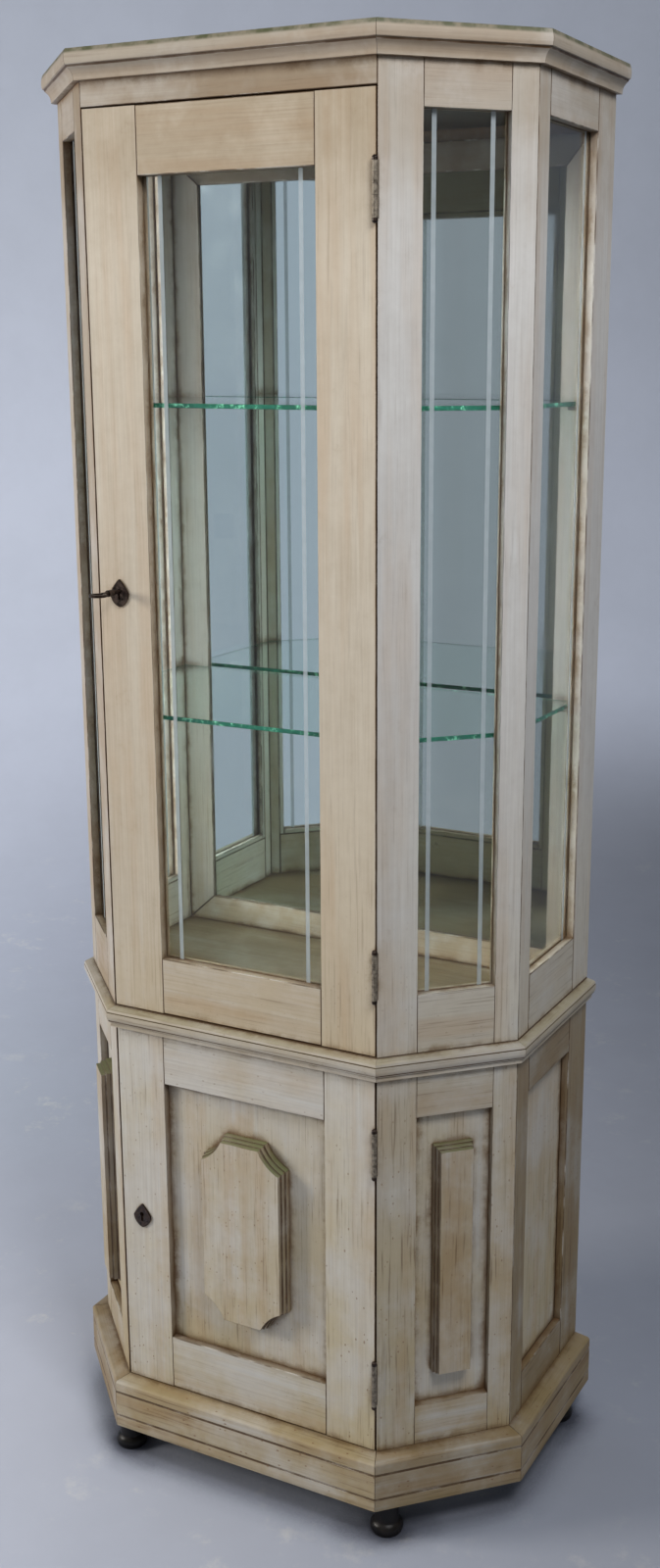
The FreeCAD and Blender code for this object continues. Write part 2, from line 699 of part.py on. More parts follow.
class Lock:
    """A lock case, its bolt and the cuts that they and the key need."""

    def __init__(self, door):
        self.door = door
        self.edge = -door.half
        self.low = door.key_z - size("lock_below")
        self.high = door.key_z + size("lock_above")
        self.bolt_low = door.key_z + size("bolt_rise")
        self.bolt_high = self.bolt_low + size("bolt_height")

    def keyhole(self, name, y0, y1):
        """A round hole with a slot below it for the key's bit."""
        door = self.door
        hole = rod(name + "_round", key_hole_radius, (door.key_x, y0, door.key_z), INWARDS, y1 - y0)
        slot = board(name + "_slot", world, (door.key_x - half_slot, door.key_x + half_slot),
                     (y0, y1), (door.key_z - slot_depth, door.key_z))
        return fuse(name, [hole, slot])

    def recess(self):
        """The space that the lock case fills in the door."""
        return board(self.door.name + "_lock_recess", world,
                     (self.edge, self.edge + size("lock_width")), (lock_front, lock_back),
                     (self.low, self.high))

    def bolt_space(self, name, x):
        half = bolt_thick / 2 + bolt_clearance
        return board(name, world, x, (bolt_middle - half, bolt_middle + half),
                     (self.bolt_low - bolt_clearance, self.bolt_high + bolt_clearance))

    def case(self):
        name = self.door.name + "_lock"
        shell = board(name + "_shell", world, (self.edge, self.edge + size("lock_width")),
                      (lock_front, lock_back), (self.low, self.high))
        inside = board(name + "_inside", world,
                       (self.edge + lock_wall, self.edge + size("lock_width") - lock_wall),
                       (lock_front + lock_wall, lock_back - lock_wall),
                       (self.low + lock_wall, self.high - lock_wall))
        window = self.bolt_space(name + "_window", (self.edge, self.edge + lock_wall))
        hole = self.keyhole(name + "_keyhole", lock_front, lock_front + lock_wall)
        return cut(name + "_case", shell, [inside, window, hole])

    def bolt(self):
        """Drawn back behind the door's edge; its tail stays inside the case."""
        start = self.edge + bolt_clearance
        end = self.edge + size("lock_width") - lock_wall - size("bolt_tail_gap")
        half = bolt_thick / 2
        return board(self.door.name + "_bolt", world, (start, end),
                     (bolt_middle - half, bolt_middle + half), (self.bolt_low, self.bolt_high))

    def strike(self):
        """The hole in the left cant stile that takes the shot bolt."""
        reach = self.edge + bolt_clearance - size("bolt_travel") - size("strike_gap")
        return self.bolt_space(self.door.name + "_strike", (reach, self.edge + size("lock_wall")))


upper_lock = Lock(upper_door)
lower_lock = Lock(lower_door)

# Case frames: built on the right, mirrored to the left.
# The left cant stiles take the bolts and the right ones the hinges.
upper_cant = frame("upper_cant", cant_face, cant_opening, upper_z, upper_opening_z,
                   (square_cant, side_mitre))
lower_cant = frame("lower_cant", cant_face, cant_opening, lower_z, lower_opening_z,
                   (square_cant, side_mitre))
for tier, pieces, door, lock in (("upper", upper_cant, upper_door, upper_lock),
                                 ("lower", lower_cant, lower_door, lower_lock)):
    first = pieces[0]
    rest = group(tier + "_cant_rest", pieces[1:])
    hinged = cut(tier + "_cant_hinge_stile", first, [hinge.mortise(1) for hinge in door.hinges])
    struck = cut(tier + "_cant_lock_stile", mirrored(tier + "_cant_left_stile", first),
                 [lock.strike()])
    subpart(tier + "_cant_frame_right", group(tier + "_cant_right", [hinged, rest]))
    subpart(tier + "_cant_frame_left",
            group(tier + "_cant_left", [struck, mirrored(tier + "_cant_left_rest", rest)]))

for tier, opening, z, opening_z in (("upper", upper_side_opening, upper_z, upper_opening_z),
                                    ("lower", lower_side_opening, lower_z, lower_opening_z)):
    pieces = frame(tier + "_side", side_face, opening, z, opening_z, (side_mitre, None))
    right = subpart(tier + "_side_frame_right", group(tier + "_side_right", pieces))
    subpart(tier + "_side_frame_left", mirrored(tier + "_side_left", right))

# Panes and their beads in the upper frames.
bead_strips = []
for place_name, face, opening in (("cant", cant_face, cant_opening),
                                  ("side", side_face, upper_side_opening)):
    pane = filling(place_name + "_pane", face, opening, upper_opening_z, glass_thick)
    subpart(place_name + "_glass_right", pane)
    subpart(place_name + "_glass_left", mirrored(place_name + "_pane_left", pane))
    bead_strips += beads(place_name + "_bead", face, opening, upper_opening_z, glass_thick)
right_beads = subpart("glazing_beads_right", group("right_beads", bead_strips))
subpart("glazing_beads_left", mirrored("left_beads", right_beads))

# Panels in the lower frames.
cant_panel = filling("cant_panel", cant_face, cant_opening, lower_opening_z, panel_thick)
side_panel = filling("side_panel", side_face, lower_side_opening, lower_opening_z, panel_thick)
right_panels = subpart("lower_panels_right", group("right_panels", [cant_panel, side_panel]))
subpart("lower_panels_left", mirrored("left_panels", right_panels))


def rectangle(half_width, half_height):
    return [(-half_width, -half_height), (half_width, -half_height),
            (half_width, half_height), (-half_width, half_height)]


# Share of a plaque's thickness and border that each step of its moulding takes.
STEPS = ((0.0, 0.38), (0.5, 0.7), (1.0, 1.0))


def stepped(shape, border, thick, deepest):
    """Layers of a plaque that draws in by its border while it rises from its panel."""
    layers = []
    for inset, height in STEPS:
        layers.append((shape(border * inset), deepest, deepest - thick * height))
    return layers


# Raised plaques on the cant panels.
cant_plaque_half = size("cant_plaque_width") / 2
cant_plaque_rise = (lower_opening_z[1] - lower_opening_z[0]) / 2 - size("cant_plaque_margin")
cant_plaque_s = (cant_opening[0] + cant_opening[1]) / 2
cant_plaque_z = (lower_opening_z[0] + lower_opening_z[1]) / 2


def cant_plaque_outline(inset):
    return rectangle(cant_plaque_half - inset, cant_plaque_rise - inset)


right_plaque = relief("cant_plaque", cant_face,
                      stepped(cant_plaque_outline, size("cant_plaque_border"),
                              size("cant_plaque_thick"), pane_setback),
                      cant_plaque_s, cant_plaque_z)
subpart("lower_cant_plaques",
        group("both_plaques", [right_plaque, mirrored("left_plaque", right_plaque)]))

# Plinth, waist and cornice: one section each, mitred round the corners.
overhang = size("plinth_overhang")
inner = size("plinth_thick") - overhang


def moulding(name, face, section, z, start, end, outside, inside):
    """A moulding along a face with mitred ends. start and end are tangents of the mitres."""
    length = face.length
    start = as_size(start)
    end = as_size(end)
    run = bar(name + "_run", face, section, (-outside, length + outside), z[0])
    reach = as_size(inside)
    ends = [(-outside * start, -outside), (length + outside * end, -outside),
            (length - reach * end, reach), (reach * start, reach)]
    return common(name, run, column(name + "_mitres", face, ends, z))


def ring(prefix, section, z, outside, inside):
    """Front piece, and the cant and side pieces of both sides."""
    front = moulding(prefix + "_front_bar", front_face, section, z, front_mitre, front_mitre,
                     outside, inside)
    cant = moulding(prefix + "_cant_bar", cant_face, section, z, front_mitre, side_mitre,
                    outside, inside)
    side = moulding(prefix + "_side_bar", side_face, section, z, side_mitre, 0,
                    outside, inside)
    subpart(prefix + "_front", front)
    right = subpart(prefix + "_right", group(prefix + "_right_bars", [cant, side]))
    subpart(prefix + "_left", mirrored(prefix + "_left_bars", right))


plinth_height = size("plinth_height")
nose_height = size("nose_height")
groove_depth = size("groove_depth")
nose_level = plinth_height - size("ledge_drop") - nose_height
plinth_section = [(inner, 0), (inner, plinth_height), (0, plinth_height),
                  (nose_height - overhang, plinth_height - size("ledge_drop")),
                  Corner(-overhang, nose_level, size("nose_radius"))]
for level in (size("plinth_high_groove"), size("plinth_low_groove")):
    plinth_section += [(-overhang, level + groove_depth), (groove_depth - overhang, level),
                       (-overhang, level - groove_depth)]
plinth_section.append((-overhang, 0))
ring("plinth", plinth_section, (plinth_bottom, plinth_top), overhang, inner)

waist_height = size("waist_height")
waist_overhang = size("waist_overhang")
bead_low = size("waist_bead_low")
bead_high = waist_height - size("waist_ledge_drop")
bead_front = size("waist_bead_inset") - waist_overhang
fillet_front = size("waist_fillet_inset") - waist_overhang
waist_section = [(0, 0), (0, waist_height),
                 (size("waist_ledge_inset") - waist_overhang, bead_high),
                 Corner(bead_front, bead_low, size("waist_bead_radius")),
                 (fillet_front, bead_low - size("waist_fillet_fall")), (fillet_front, 0)]
ring("waist", waist_section, (deck_bottom, deck_bottom + waist_height), waist_overhang, 0)

cove_height = size("cove_height")
cornice_foot = size("cornice_foot")
cornice_overhang = size("cornice_overhang")
cove_top = size("cornice_step") - cornice_overhang
band_height = cabinet_top - frames_top
cornice_height = cove_height + band_height
low_inset = size("cornice_low_inset")
cornice_section = [(0, 0), (0, cornice_height),
                   (size("cornice_top_inset") - cornice_overhang, cornice_height),
                   Corner(low_inset - cornice_overhang, cove_height + low_inset,
                          size("cornice_band_radius")),
                   (cove_top, cove_height), (cove_top, cove_height - size("cornice_step_height")),
                   Corner(-cornice_foot, size("cornice_fillet"), size("cove_radius"), True),
                   (-cornice_foot, 0)]
ring("cornice", cornice_section, (cabinet_top - cornice_height, cabinet_top),
     cornice_overhang, 0)

# Level boards.
back_thick = size("back_thick")
back_front = named("back_front", back_y - back_thick)
plinth_back_thick = size("plinth_back_thick")
side_inner = half_body - frame_thick
plinth_inner = half_body - inner
subpart("plinth_back", board("plinth_rear_board", world, (-plinth_inner, plinth_inner),
                             (back_y - plinth_back_thick, back_y), (plinth_bottom, plinth_top)))
subpart("base_board", slab("base_slab", outline(inner, None, plinth_back_thick),
                           (plinth_top - size("base_thick"), plinth_top)))
subpart("deck_board", slab("deck_slab", outline(0), (deck_bottom, deck_top)))
subpart("top_board", slab("top_slab", outline(0), (frames_top, cabinet_top)))
subpart("ceiling_board",
        slab("ceiling_slab",
             outline(frame_thick, door_thick + size("ceiling_stop_gap"), back_thick),
             (fascia_bottom, fascia_bottom + size("ceiling_thick"))))
subpart("fascia_rail", board("fascia", front_face, (0, front_width), (0, frame_thick),
                             (fascia_bottom, frames_top)))
subpart("lower_back_panel", board("lower_back", world, (-side_inner, side_inner),
                                  (back_front, back_y), lower_z))
subpart("back_board", board("upper_back", world, (-side_inner, side_inner),
                            (back_front, back_y), upper_z))

# Mirror in a splayed, mitred frame that stands on the deck against the back board.
mirror_bar = size("mirror_bar")
mirror_bar_thick = size("mirror_bar_thick")
mirror_thick = size("mirror_thick")
mirror_rebate = size("mirror_rebate")
mirror_splay = size("mirror_splay")
mirror_depth = mirror_bar_thick - mirror_thick - size("mirror_back_gap")
mirror_front = named("mirror_front", back_front - mirror_bar_thick)
mirror_low = deck_top
mirror_high = named("mirror_high", fascia_bottom - size("mirror_drop"))


def mirror_frame_bar(name, length, spot, turn):
    """One bar: its outer edge runs from the spot, and the frame's middle lies above it."""
    section = [(0, 0), (mirror_bar_thick, 0), (mirror_bar_thick, mirror_bar - mirror_rebate),
               (mirror_depth, mirror_bar - mirror_rebate), (mirror_depth, mirror_bar),
               (mirror_splay, mirror_bar), (mirror_splay, mirror_bar - size("mirror_inner_flat")),
               (0, size("mirror_outer_flat"))]
    body = doc.addObject("PartDesign::Body", name + "_run")
    pad(body, draw(body, name + "_section", "YZ_Plane", section), length)
    ends = [(0, 0), (length, 0), (length - mirror_bar, mirror_bar), (mirror_bar, mirror_bar)]
    mask = doc.addObject("PartDesign::Body", name + "_ends")
    pad(mask, draw(mask, name + "_mitres", "XZ_Plane", ends), mirror_bar_thick, True)
    piece = common(name, body, mask)
    for item in (body, mask):
        item.Placement = FreeCAD.Placement(Vector(*[as_size(c).value for c in spot]),
                                           Rotation(Vector(0, 1, 0), turn))
        for axis, amount in zip("xyz", spot):
            item.setExpression(".Placement.Base." + axis, as_size(amount).formula)
    return piece


mirror_width = side_inner * 2
mirror_height = mirror_high - mirror_low
subpart("mirror_frame", group("mirror_bars", [
    mirror_frame_bar("mirror_bar_low", mirror_width, (-side_inner, mirror_front, mirror_low), 0),
    mirror_frame_bar("mirror_bar_right", mirror_height, (side_inner, mirror_front, mirror_low), -90),
    mirror_frame_bar("mirror_bar_high", mirror_width, (side_inner, mirror_front, mirror_high), 180),
    mirror_frame_bar("mirror_bar_left", mirror_height, (-side_inner, mirror_front, mirror_high), 90),
]))
mirror_lap = mirror_bar - mirror_rebate + edge_clearance
subpart("mirror", board("mirror_sheet", world,
                        (mirror_lap - side_inner, side_inner - mirror_lap),
                        (mirror_front + mirror_depth, mirror_front + mirror_depth + mirror_thick),
                        (mirror_low + mirror_lap, mirror_high - mirror_lap)))

# Glass shelves on pegs. The front pegs stand in the cant stiles, the rear ones in the side stiles.
shelf_thick = size("shelf_thick")
peg_radius = size("peg_radius")
peg_length = size("peg_length")
shelf_outline = outline(frame_thick + size("shelf_side_gap"), door_thick + size("shelf_front_gap"),
                        back_thick + mirror_bar_thick + edge_clearance)
peg_spots = ((cant_face, size("front_peg_inset")),
             (side_face, side_length - size("rear_peg_inset")))
pegs = []
for tier in ("lower", "upper"):
    shelf_low = deck_top + size(tier + "_shelf_rise")
    subpart("glass_shelf_" + tier,
            slab("shelf_" + tier, shelf_outline, (shelf_low, shelf_low + shelf_thick)))
    for number, (face, s) in enumerate(peg_spots):
        name = "%s_peg_%d" % (tier, number)
        peg = group(name, [rod(name + "_rod", peg_radius, (0, 0, 0), INWARDS, peg_length)])
        pegs.append(place(peg, face, s, frame_thick, shelf_low - peg_radius))
right_pegs = group("right_pegs", pegs)
subpart("shelf_pegs", group("all_pegs", [right_pegs, mirrored("left_pegs", right_pegs)]))

# Turned feet under the plinth's front corners and its rear.
neck = size("foot_neck_radius")
foot_height = size("foot_height")
ring_high = size("foot_ring_high")
collar = neck + size("foot_collar")
collar_low = foot_height - size("foot_collar_height")
foot_profile = [(0, 0), (size("foot_base_radius"), 0),
                (size("foot_ring_low_radius"), size("foot_ring_low")),
                Corner(size("foot_ring_high_radius"), ring_high, size("foot_ring_rounding")),
                (neck, ring_high + size("foot_fillet")),
                (neck, collar_low - size("foot_collar_slope")), (collar, collar_low),
                (collar, foot_height), (0, foot_height)]
front_foot_x = half_front + overhang * front_mitre
rear_foot_x = half_body + overhang - size("foot_side_inset")
feet = [turned("front_foot", foot_profile, front_foot_x,
               front_y - overhang + size("foot_end_inset"), 0),
        turned("rear_foot", foot_profile, rear_foot_x, back_y - size("foot_end_inset"), 0)]
right_feet = group("right_feet", feet)
subpart("feet", group("all_feet", [right_feet, mirrored("left_feet", right_feet)]))


def door_frame(door, stile_width, low_rail, high_rail, lock):
    """Stiles, with the cuts for lock, key and hinges, and rails of a door."""
    name = door.name
    s = (stile_width - door.half, door.half - stile_width)
    z = (door.bottom, door.top)
    opening_z = (door.bottom + low_rail, door.top - high_rail)
    left = stile(name + "_lock_stile_blank", middle, (-door.half, s[0]), z, "right")
    right = stile(name + "_hinge_stile_blank", middle, (s[1], door.half), z, "left")
    keyhole = lock.keyhole(name + "_keyhole", front_y, lock_front)
    left = cut(name + "_lock_stile", left, [lock.recess(), keyhole])
    right = cut(name + "_hinge_stile", right, [hinge.mortise(-1) for hinge in door.hinges])
    rails = [rail(name + "_low_rail", middle, s, (z[0], opening_z[0]), "up"),
             rail(name + "_high_rail", middle, s, (opening_z[1], z[1]), "down")]
    subpart(name + "_stiles", group(name + "_both_stiles", [left, right]))
    subpart(name + "_rails", group(name + "_both_rails", rails))
    return s, opening_z


opening, opening_z = door_frame(upper_door, size("upper_door_stile"),
                                size("upper_door_bottom_rail"), size("upper_door_top_rail"),
                                upper_lock)
subpart("door_glass", filling("door_pane", middle, opening, opening_z, glass_thick))
subpart("door_beads",
        group("door_bead_strips", beads("door_bead", middle, opening, opening_z, glass_thick)))

opening, opening_z = door_frame(lower_door, size("lower_door_stile"),
                                size("lower_door_bottom_rail"), size("lower_door_top_rail"),
                                lower_lock)
subpart("lower_door_panel", filling("door_panel", middle, opening, opening_z, panel_thick))

# Door plaque with scooped corners.
scoop_radius = size("scoop_radius")
scoop_offset = size("scoop_offset")


def scooped(inset):
    """A rectangle drawn in by the inset; its hollow corners keep their centres."""
    w = size("plaque_width") / 2 - inset
    t = size("plaque_height") / 2 - inset
    radius = scoop_radius + inset
    offset = scoop_offset + inset
    bite = root(radius * radius - offset * offset) - offset
    return [Corner(w - bite, -t), Corner(w, bite - t, radius, True), Corner(w, t - bite),
            Corner(w - bite, t, radius, True), Corner(bite - w, t),
            Corner(-w, t - bite, radius, True), Corner(-w, bite - t),
            Corner(bite - w, -t, radius, True)]


subpart("lower_door_plaque",
        relief("door_plaque", middle,
               stepped(scooped, size("plaque_border"), size("plaque_thick"), pane_setback),
               0, (opening_z[0] + opening_z[1]) / 2))

# Hardware: hinges, locks, keyhole plates and the key.
case_leaves = []
pins = []
for door in (upper_door, lower_door):
    case_leaves += [hinge.leaf(1) for hinge in door.hinges]
    pins += [hinge.pin() for hinge in door.hinges]
    subpart(door.name + "_hinge_leaves",
            group(door.name + "_leaves", [hinge.leaf(-1) for hinge in door.hinges]))
subpart("case_hinge_leaves", group("case_leaves", case_leaves))
subpart("hinge_pins", group("pins", pins))


def escutcheon(lock):
    """A kite-shaped plate with bowed edges and a keyhole."""
    door = lock.door
    name = door.name + "_escutcheon"
    half = size("escutcheon_width") / 2
    thick = size("escutcheon_thick")
    low_radius = size("escutcheon_low_radius")
    high_radius = size("escutcheon_high_radius")
    kite = [Corner(0, -size("escutcheon_below"), low_radius), Corner(half, 0, low_radius),
            Corner(0, size("escutcheon_above"), high_radius), Corner(-half, 0, high_radius)]
    body = doc.addObject("PartDesign::Body", name + "_plate")
    pad(body, draw(body, name + "_outline", "XZ_Plane", kite), thick)
    place(body, world, door.key_x, front_y, door.key_z - size("escutcheon_drop"))
    return cut(name, body, [lock.keyhole(name + "_hole", front_y - thick, front_y)])


for door, lock, tier in ((upper_door, upper_lock, "upper"), (lower_door, lower_lock, "lower")):
    subpart(tier + "_escutcheon", escutcheon(lock))
    subpart(tier + "_lock_case", lock.case())
    subpart(tier + "_bolt", lock.bolt())

key_reach = size("key_reach")
shank = size("key_shank_radius")
bow_radius = size("key_bow_radius")
bow_thick = size("key_bow_thick")
key_x = upper_door.key_x
key_z = upper_door.key_z
key_tip = lock_back - lock_wall - bolt_clearance
bow_y = front_y - key_reach + bow_radius
bow_low = key_z - bow_thick / 2
shank_end = bow_y + bow_radius - size("key_shank_lap")
bit_end = key_tip - size("bit_setback")
collar_length = size("collar_length")
collar_end = bow_y + bow_radius + size("neck_length") + collar_length
bit = board("key_bit", world, (key_x, key_x + size("bit_radius")),
            (bit_end - size("bit_length"), bit_end), (key_z - bit_thick / 2, key_z + bit_thick / 2))
key_solid = [rod("key_shank", shank, (key_x, key_tip, key_z), OUTWARDS, key_tip - shank_end),
             rod("key_collar", shank + size("collar_proud"), (key_x, collar_end, key_z), OUTWARDS,
                 collar_length),
             rod("key_bow_disc", bow_radius, (key_x, bow_y, bow_low), UPWARDS, bow_thick), bit]
bow_hole = rod("key_bow_hole", size("key_bow_hole"), (key_x, bow_y, bow_low), UPWARDS,
               bow_thick)
subpart("key", cut("key_solid", fuse("key_blank", key_solid), [bow_hole]))


def finish():
    """Recomputes, refuses anything failed, empty or cut in vain, and writes the files."""
    doc.recompute()
    for item in doc.Objects:
        if "Invalid" in item.State or "Error" in item.State:
            raise RuntimeError("%s failed: %s" % (item.Name, item.State))
        if item.TypeId == "Part::Cut" and item.Shape.Volume >= item.Base.Shape.Volume:
            raise RuntimeError("%s removes nothing" % item.Name)
    os.makedirs("parts", exist_ok=True)
    for name, item in subparts.items():
        shape = item.Shape
        if shape.isNull() or not shape.isValid() or shape.Volume <= 0:
            raise RuntimeError("%s has no sound shape" % name)
        if item.Label != name:
            raise RuntimeError("%s could not be given its name" % name)
        shape.exportStep("parts/%s.step" % name)
        print("%-26s %3d solids %10.1f cm3" % (name, len(shape.Solids), shape.Volume / 1000))


finish()
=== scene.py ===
"""Dresses the display cabinet: aged paint on softened wood, glass, mirror and iron, and the
studio round it."""

import json
import math
import zlib

import bmesh
import bpy
from bpy.props import FloatProperty, FloatVectorProperty, PointerProperty
from mathutils import Matrix, Vector


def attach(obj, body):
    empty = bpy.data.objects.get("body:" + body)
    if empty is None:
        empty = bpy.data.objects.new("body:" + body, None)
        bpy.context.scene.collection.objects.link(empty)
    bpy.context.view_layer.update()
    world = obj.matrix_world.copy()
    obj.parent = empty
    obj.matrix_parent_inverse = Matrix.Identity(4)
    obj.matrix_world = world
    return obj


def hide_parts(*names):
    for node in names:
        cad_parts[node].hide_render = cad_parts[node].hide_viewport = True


bl_info = {
    "name": "Display cabinet",
    "version": (1, 0, 0),
    "blender": (4, 5, 0),
    "location": "3D View > Sidebar > Cabinet",
    "description": "Paint, glass, ironwork and studio for a glazed display cabinet",
    "category": "Object",
}

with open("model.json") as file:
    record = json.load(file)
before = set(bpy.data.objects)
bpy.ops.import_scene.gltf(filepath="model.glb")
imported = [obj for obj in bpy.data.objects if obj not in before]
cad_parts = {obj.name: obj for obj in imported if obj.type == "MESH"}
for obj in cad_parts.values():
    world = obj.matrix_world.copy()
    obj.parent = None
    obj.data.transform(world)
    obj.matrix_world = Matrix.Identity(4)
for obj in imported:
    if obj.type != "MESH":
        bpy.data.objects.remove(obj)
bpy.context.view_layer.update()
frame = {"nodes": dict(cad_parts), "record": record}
NODES = frame["nodes"]
RECORD = frame["record"]
BODY_OF = {node: body for body, members in RECORD["behaviour"]["bodies"].items()
           for node in members}
SLOT_OF = {part["node"]: part["material_slot"] for part in RECORD["subparts"]}

# Meshes, in metres unless said otherwise.
MERGE_DIGITS = 7  # corners that agree to this many decimals are one
FLAT = math.radians(0.5)  # faces that turn less than this are joined
INNER_CORNER = math.radians(15)  # from here on an inner edge is a quirk
OUTER_CORNER = math.radians(35)  # from here on an outer edge is rounded
SMOOTH_BELOW = math.radians(50)  # edges that turn less than this are shaded smooth
SAME_WAY = 0.99  # walls whose normals agree this far count as one
SIDEWAYS = 0.3  # a face whose normal agrees less than this with the broadest is a narrow one
PLAIN, WORN, QUIRK = 0, 1, 2  # marks of faces, kept as material numbers while edges are rounded
WAIST_GROOVES = (0.71954, 0.70633)  # heights of the two fine grooves in the waist
GROOVE_REACH = 0.0006  # edges this near to a groove's height are scored
SHORTEST_GROOVE = 0.05
SHELF_EDGE = 0.0006  # rounding of a glass shelf's edges

# Etched lines, in metres.
DOOR_LINE, DOOR_PANE = 0.101, -0.165  # half their spacing, and the pane's outer face
DOOR_SIGHT = (0.8115, 1.8475)  # the door pane's clear height
CASE_SIGHT = (0.81, 1.91)  # the other panes' clear height
CANT_CORNER = (0.21, -0.177)  # where the front meets a cant
CANT_LINES = (0.074, 0.1485)  # along the cant's face from that corner
CANT_REBATE = 0.012  # the pane's outer face stands this far behind the cant's
CANT_SLANT = math.sqrt(0.5)  # sine and cosine of its 45 degrees
SIDE_PANE = 0.341  # its outer face
SIDE_LINES = (0.019, 0.157)  # from the middle towards the back
LINE_THICKNESS, LINE_LIFT, LINE_ROUNDING = 0.00012, 0.00007, 0.00004

# Paint. The tints multiply the paint under them.
BRUSHED_PALE = (0.80, 0.77, 0.72)
CHALK = (0.60, 0.62, 0.62)
CREST_HIGHLIGHT = (0.80, 0.77, 0.70)
FLECK = (0.20, 0.10, 0.045)
WARM_TINT = (0.93, 0.85, 0.78)
LOW_TINT = (0.76, 0.63, 0.35)
PATINA_AND_SHADE_TINT = (0.74, 0.65, 0.53)
HIGH_SHADE_TINT = (0.72, 0.66, 0.58)
INSIDE_SHADE_TINT = (0.14, 0.125, 0.08)
CORNER_SHADE_TINT = (0.64, 0.53, 0.38)
TOP_RIM = (1.9925, 1.9965)  # metres: the cornice's upper rim goes dark between these
FOOT_RIM = (0.061, 0.055)  # metres: and the plinth's lower rim
CORNER_REACH = 0.016  # metres: how far the painted corner shade and the glaze spread from a corner
BRUSH_DEPTH = 0.0005  # metres
CASE_REVEALS = (0.1, 0.3)  # how dark the narrow faces of members are painted, brown glaze and painted shade in the reveals, above and below the waist
DOOR_REVEALS = (0.35, 0.55)
PLAQUE_SIDES = 0.36

# Studio, in metres and degrees.
SHEET = (16, 7.2, 1)
SHEET_FORWARD = -1.4
SWEEP_RADIUS, SWEEP_STEPS = 1.8, 12
WALL_HEIGHT = 6
VIEW_TURN = 27  # the sheet lies square to the camera
TO_THE_RIGHT = (0.89, 0.457, 0.0)  # across the view
FROM_CAMERA = (-0.454, 0.891, 0.0)  # along the view
IN_FRONT = -1.05  # the sheet nearer than this shows in glass as an even background
SHADOW_REACH = 0.075  # how far the painted contact shadow spreads round what stands on the floor
CAMERA_PLACE = (1.1515, -2.0275, 1.6267)
CAMERA_DOWN, CAMERA_TURN = 14.17, 27.18
CAMERA_LENS, CAMERA_SENSOR = 38.74, 36  # millimetres
CAMERA_SHIFT = -0.0259


def linear(red, green, blue):
    """A colour as it is seen, from 0 to 255 a channel, as the linear values that shaders use."""
    def one(channel):
        share = channel / 255
        return share / 12.92 if share <= 0.04045 else ((share + 0.055) / 1.055) ** 2.4
    return one(red), one(green), one(blue)


def colour(label, described, red, green, blue):
    return FloatVectorProperty(name=label, description=described, subtype="COLOR",
                               default=linear(red, green, blue), min=0, max=1)


def length(label, described, default):
    return FloatProperty(name=label, description=described, default=default, min=0,
                         unit="LENGTH", precision=5)


def share(label, described, default, highest=1.0):
    return FloatProperty(name=label, description=described, default=default, min=0, max=highest,
                         subtype="FACTOR")


class CabinetPaint(bpy.types.PropertyGroup):
    """Colours and wear of the painted wood."""

    case: colour("Case paint", "Cream paint of the case, cooler than the door's", 215, 212, 205)
    door: colour("Door paint", "Warmer cream paint of the glazed door", 207, 194, 171)
    inside: colour("Inside paint", "Plain paint of the deck and inner boards", 178, 169, 146)
    glaze: colour("Glaze", "Brown glaze left in joints and corners", 108, 80, 52)
    moss: colour("Green glaze", "Olive tint along ledges", 112, 118, 76)
    streaks: share("Streaks", "Strength of the brushed streaks", 0.75)
    crevices: share("Crevice glaze", "How much glaze stays in corners", 0.8)
    stain: share("Low stain", "Brown stain towards the floor", 0.62)


class CabinetShape(bpy.types.PropertyGroup):
    """Small sizes of edges and etched lines."""

    edge: length("Edge", "Rounding along the edges of stiles and rails", 0.0013)
    moulding_edge: length("Moulding edge", "Rounding along the edges of mouldings", 0.0006)
    quirk: length("Quirk", "Glaze that fills the inner corners of a moulding", 0.0018)
    joint: length("Joint", "Space left on each side of a joint", 0.00015)
    line_width: length("Etched line", "Width of the lines etched in the panes", 0.006)


class CabinetStudio(bpy.types.PropertyGroup):
    """Lamps, backdrop and floor."""

    floor: colour("Floor", "Floor and lower backdrop", 224, 229, 243)
    backdrop: colour("Backdrop", "Upper backdrop", 176, 180, 196)
    ambient: share("Ambient", "Strength of the even light from all round", 0.31, 2.0)
    reflected: colour("Reflected room", "What glass and mirror show of the room", 114, 112, 102)
    key: FloatProperty(name="Key lamp", description="Power of the lamp on the left", default=98,
                       min=0, unit="POWER")
    back: FloatProperty(name="Backdrop lamp", description="Power of the lamp on the backdrop",
                        default=9, min=0, unit="POWER")
    fill: FloatProperty(name="High lamp", description="Power of the lamp high on the right",
                        default=40, min=0, unit="POWER")


# Meshes.
def deselect():
    if bpy.context.object and bpy.context.object.mode != "OBJECT":
        bpy.ops.object.mode_set(mode="OBJECT")
    bpy.ops.object.select_all(action="DESELECT")


def pick(piece):
    deselect()
    piece.select_set(True)
    bpy.context.view_layer.objects.active = piece
    return piece


def modify(piece, kind, **values):
    """Adds a modifier with these values and applies it."""
    pick(piece)
    modifier = piece.modifiers.new(kind.lower(), kind)
    for name, value in values.items():
        setattr(modifier, name, value)
    bpy.ops.object.modifier_apply(modifier=modifier.name)


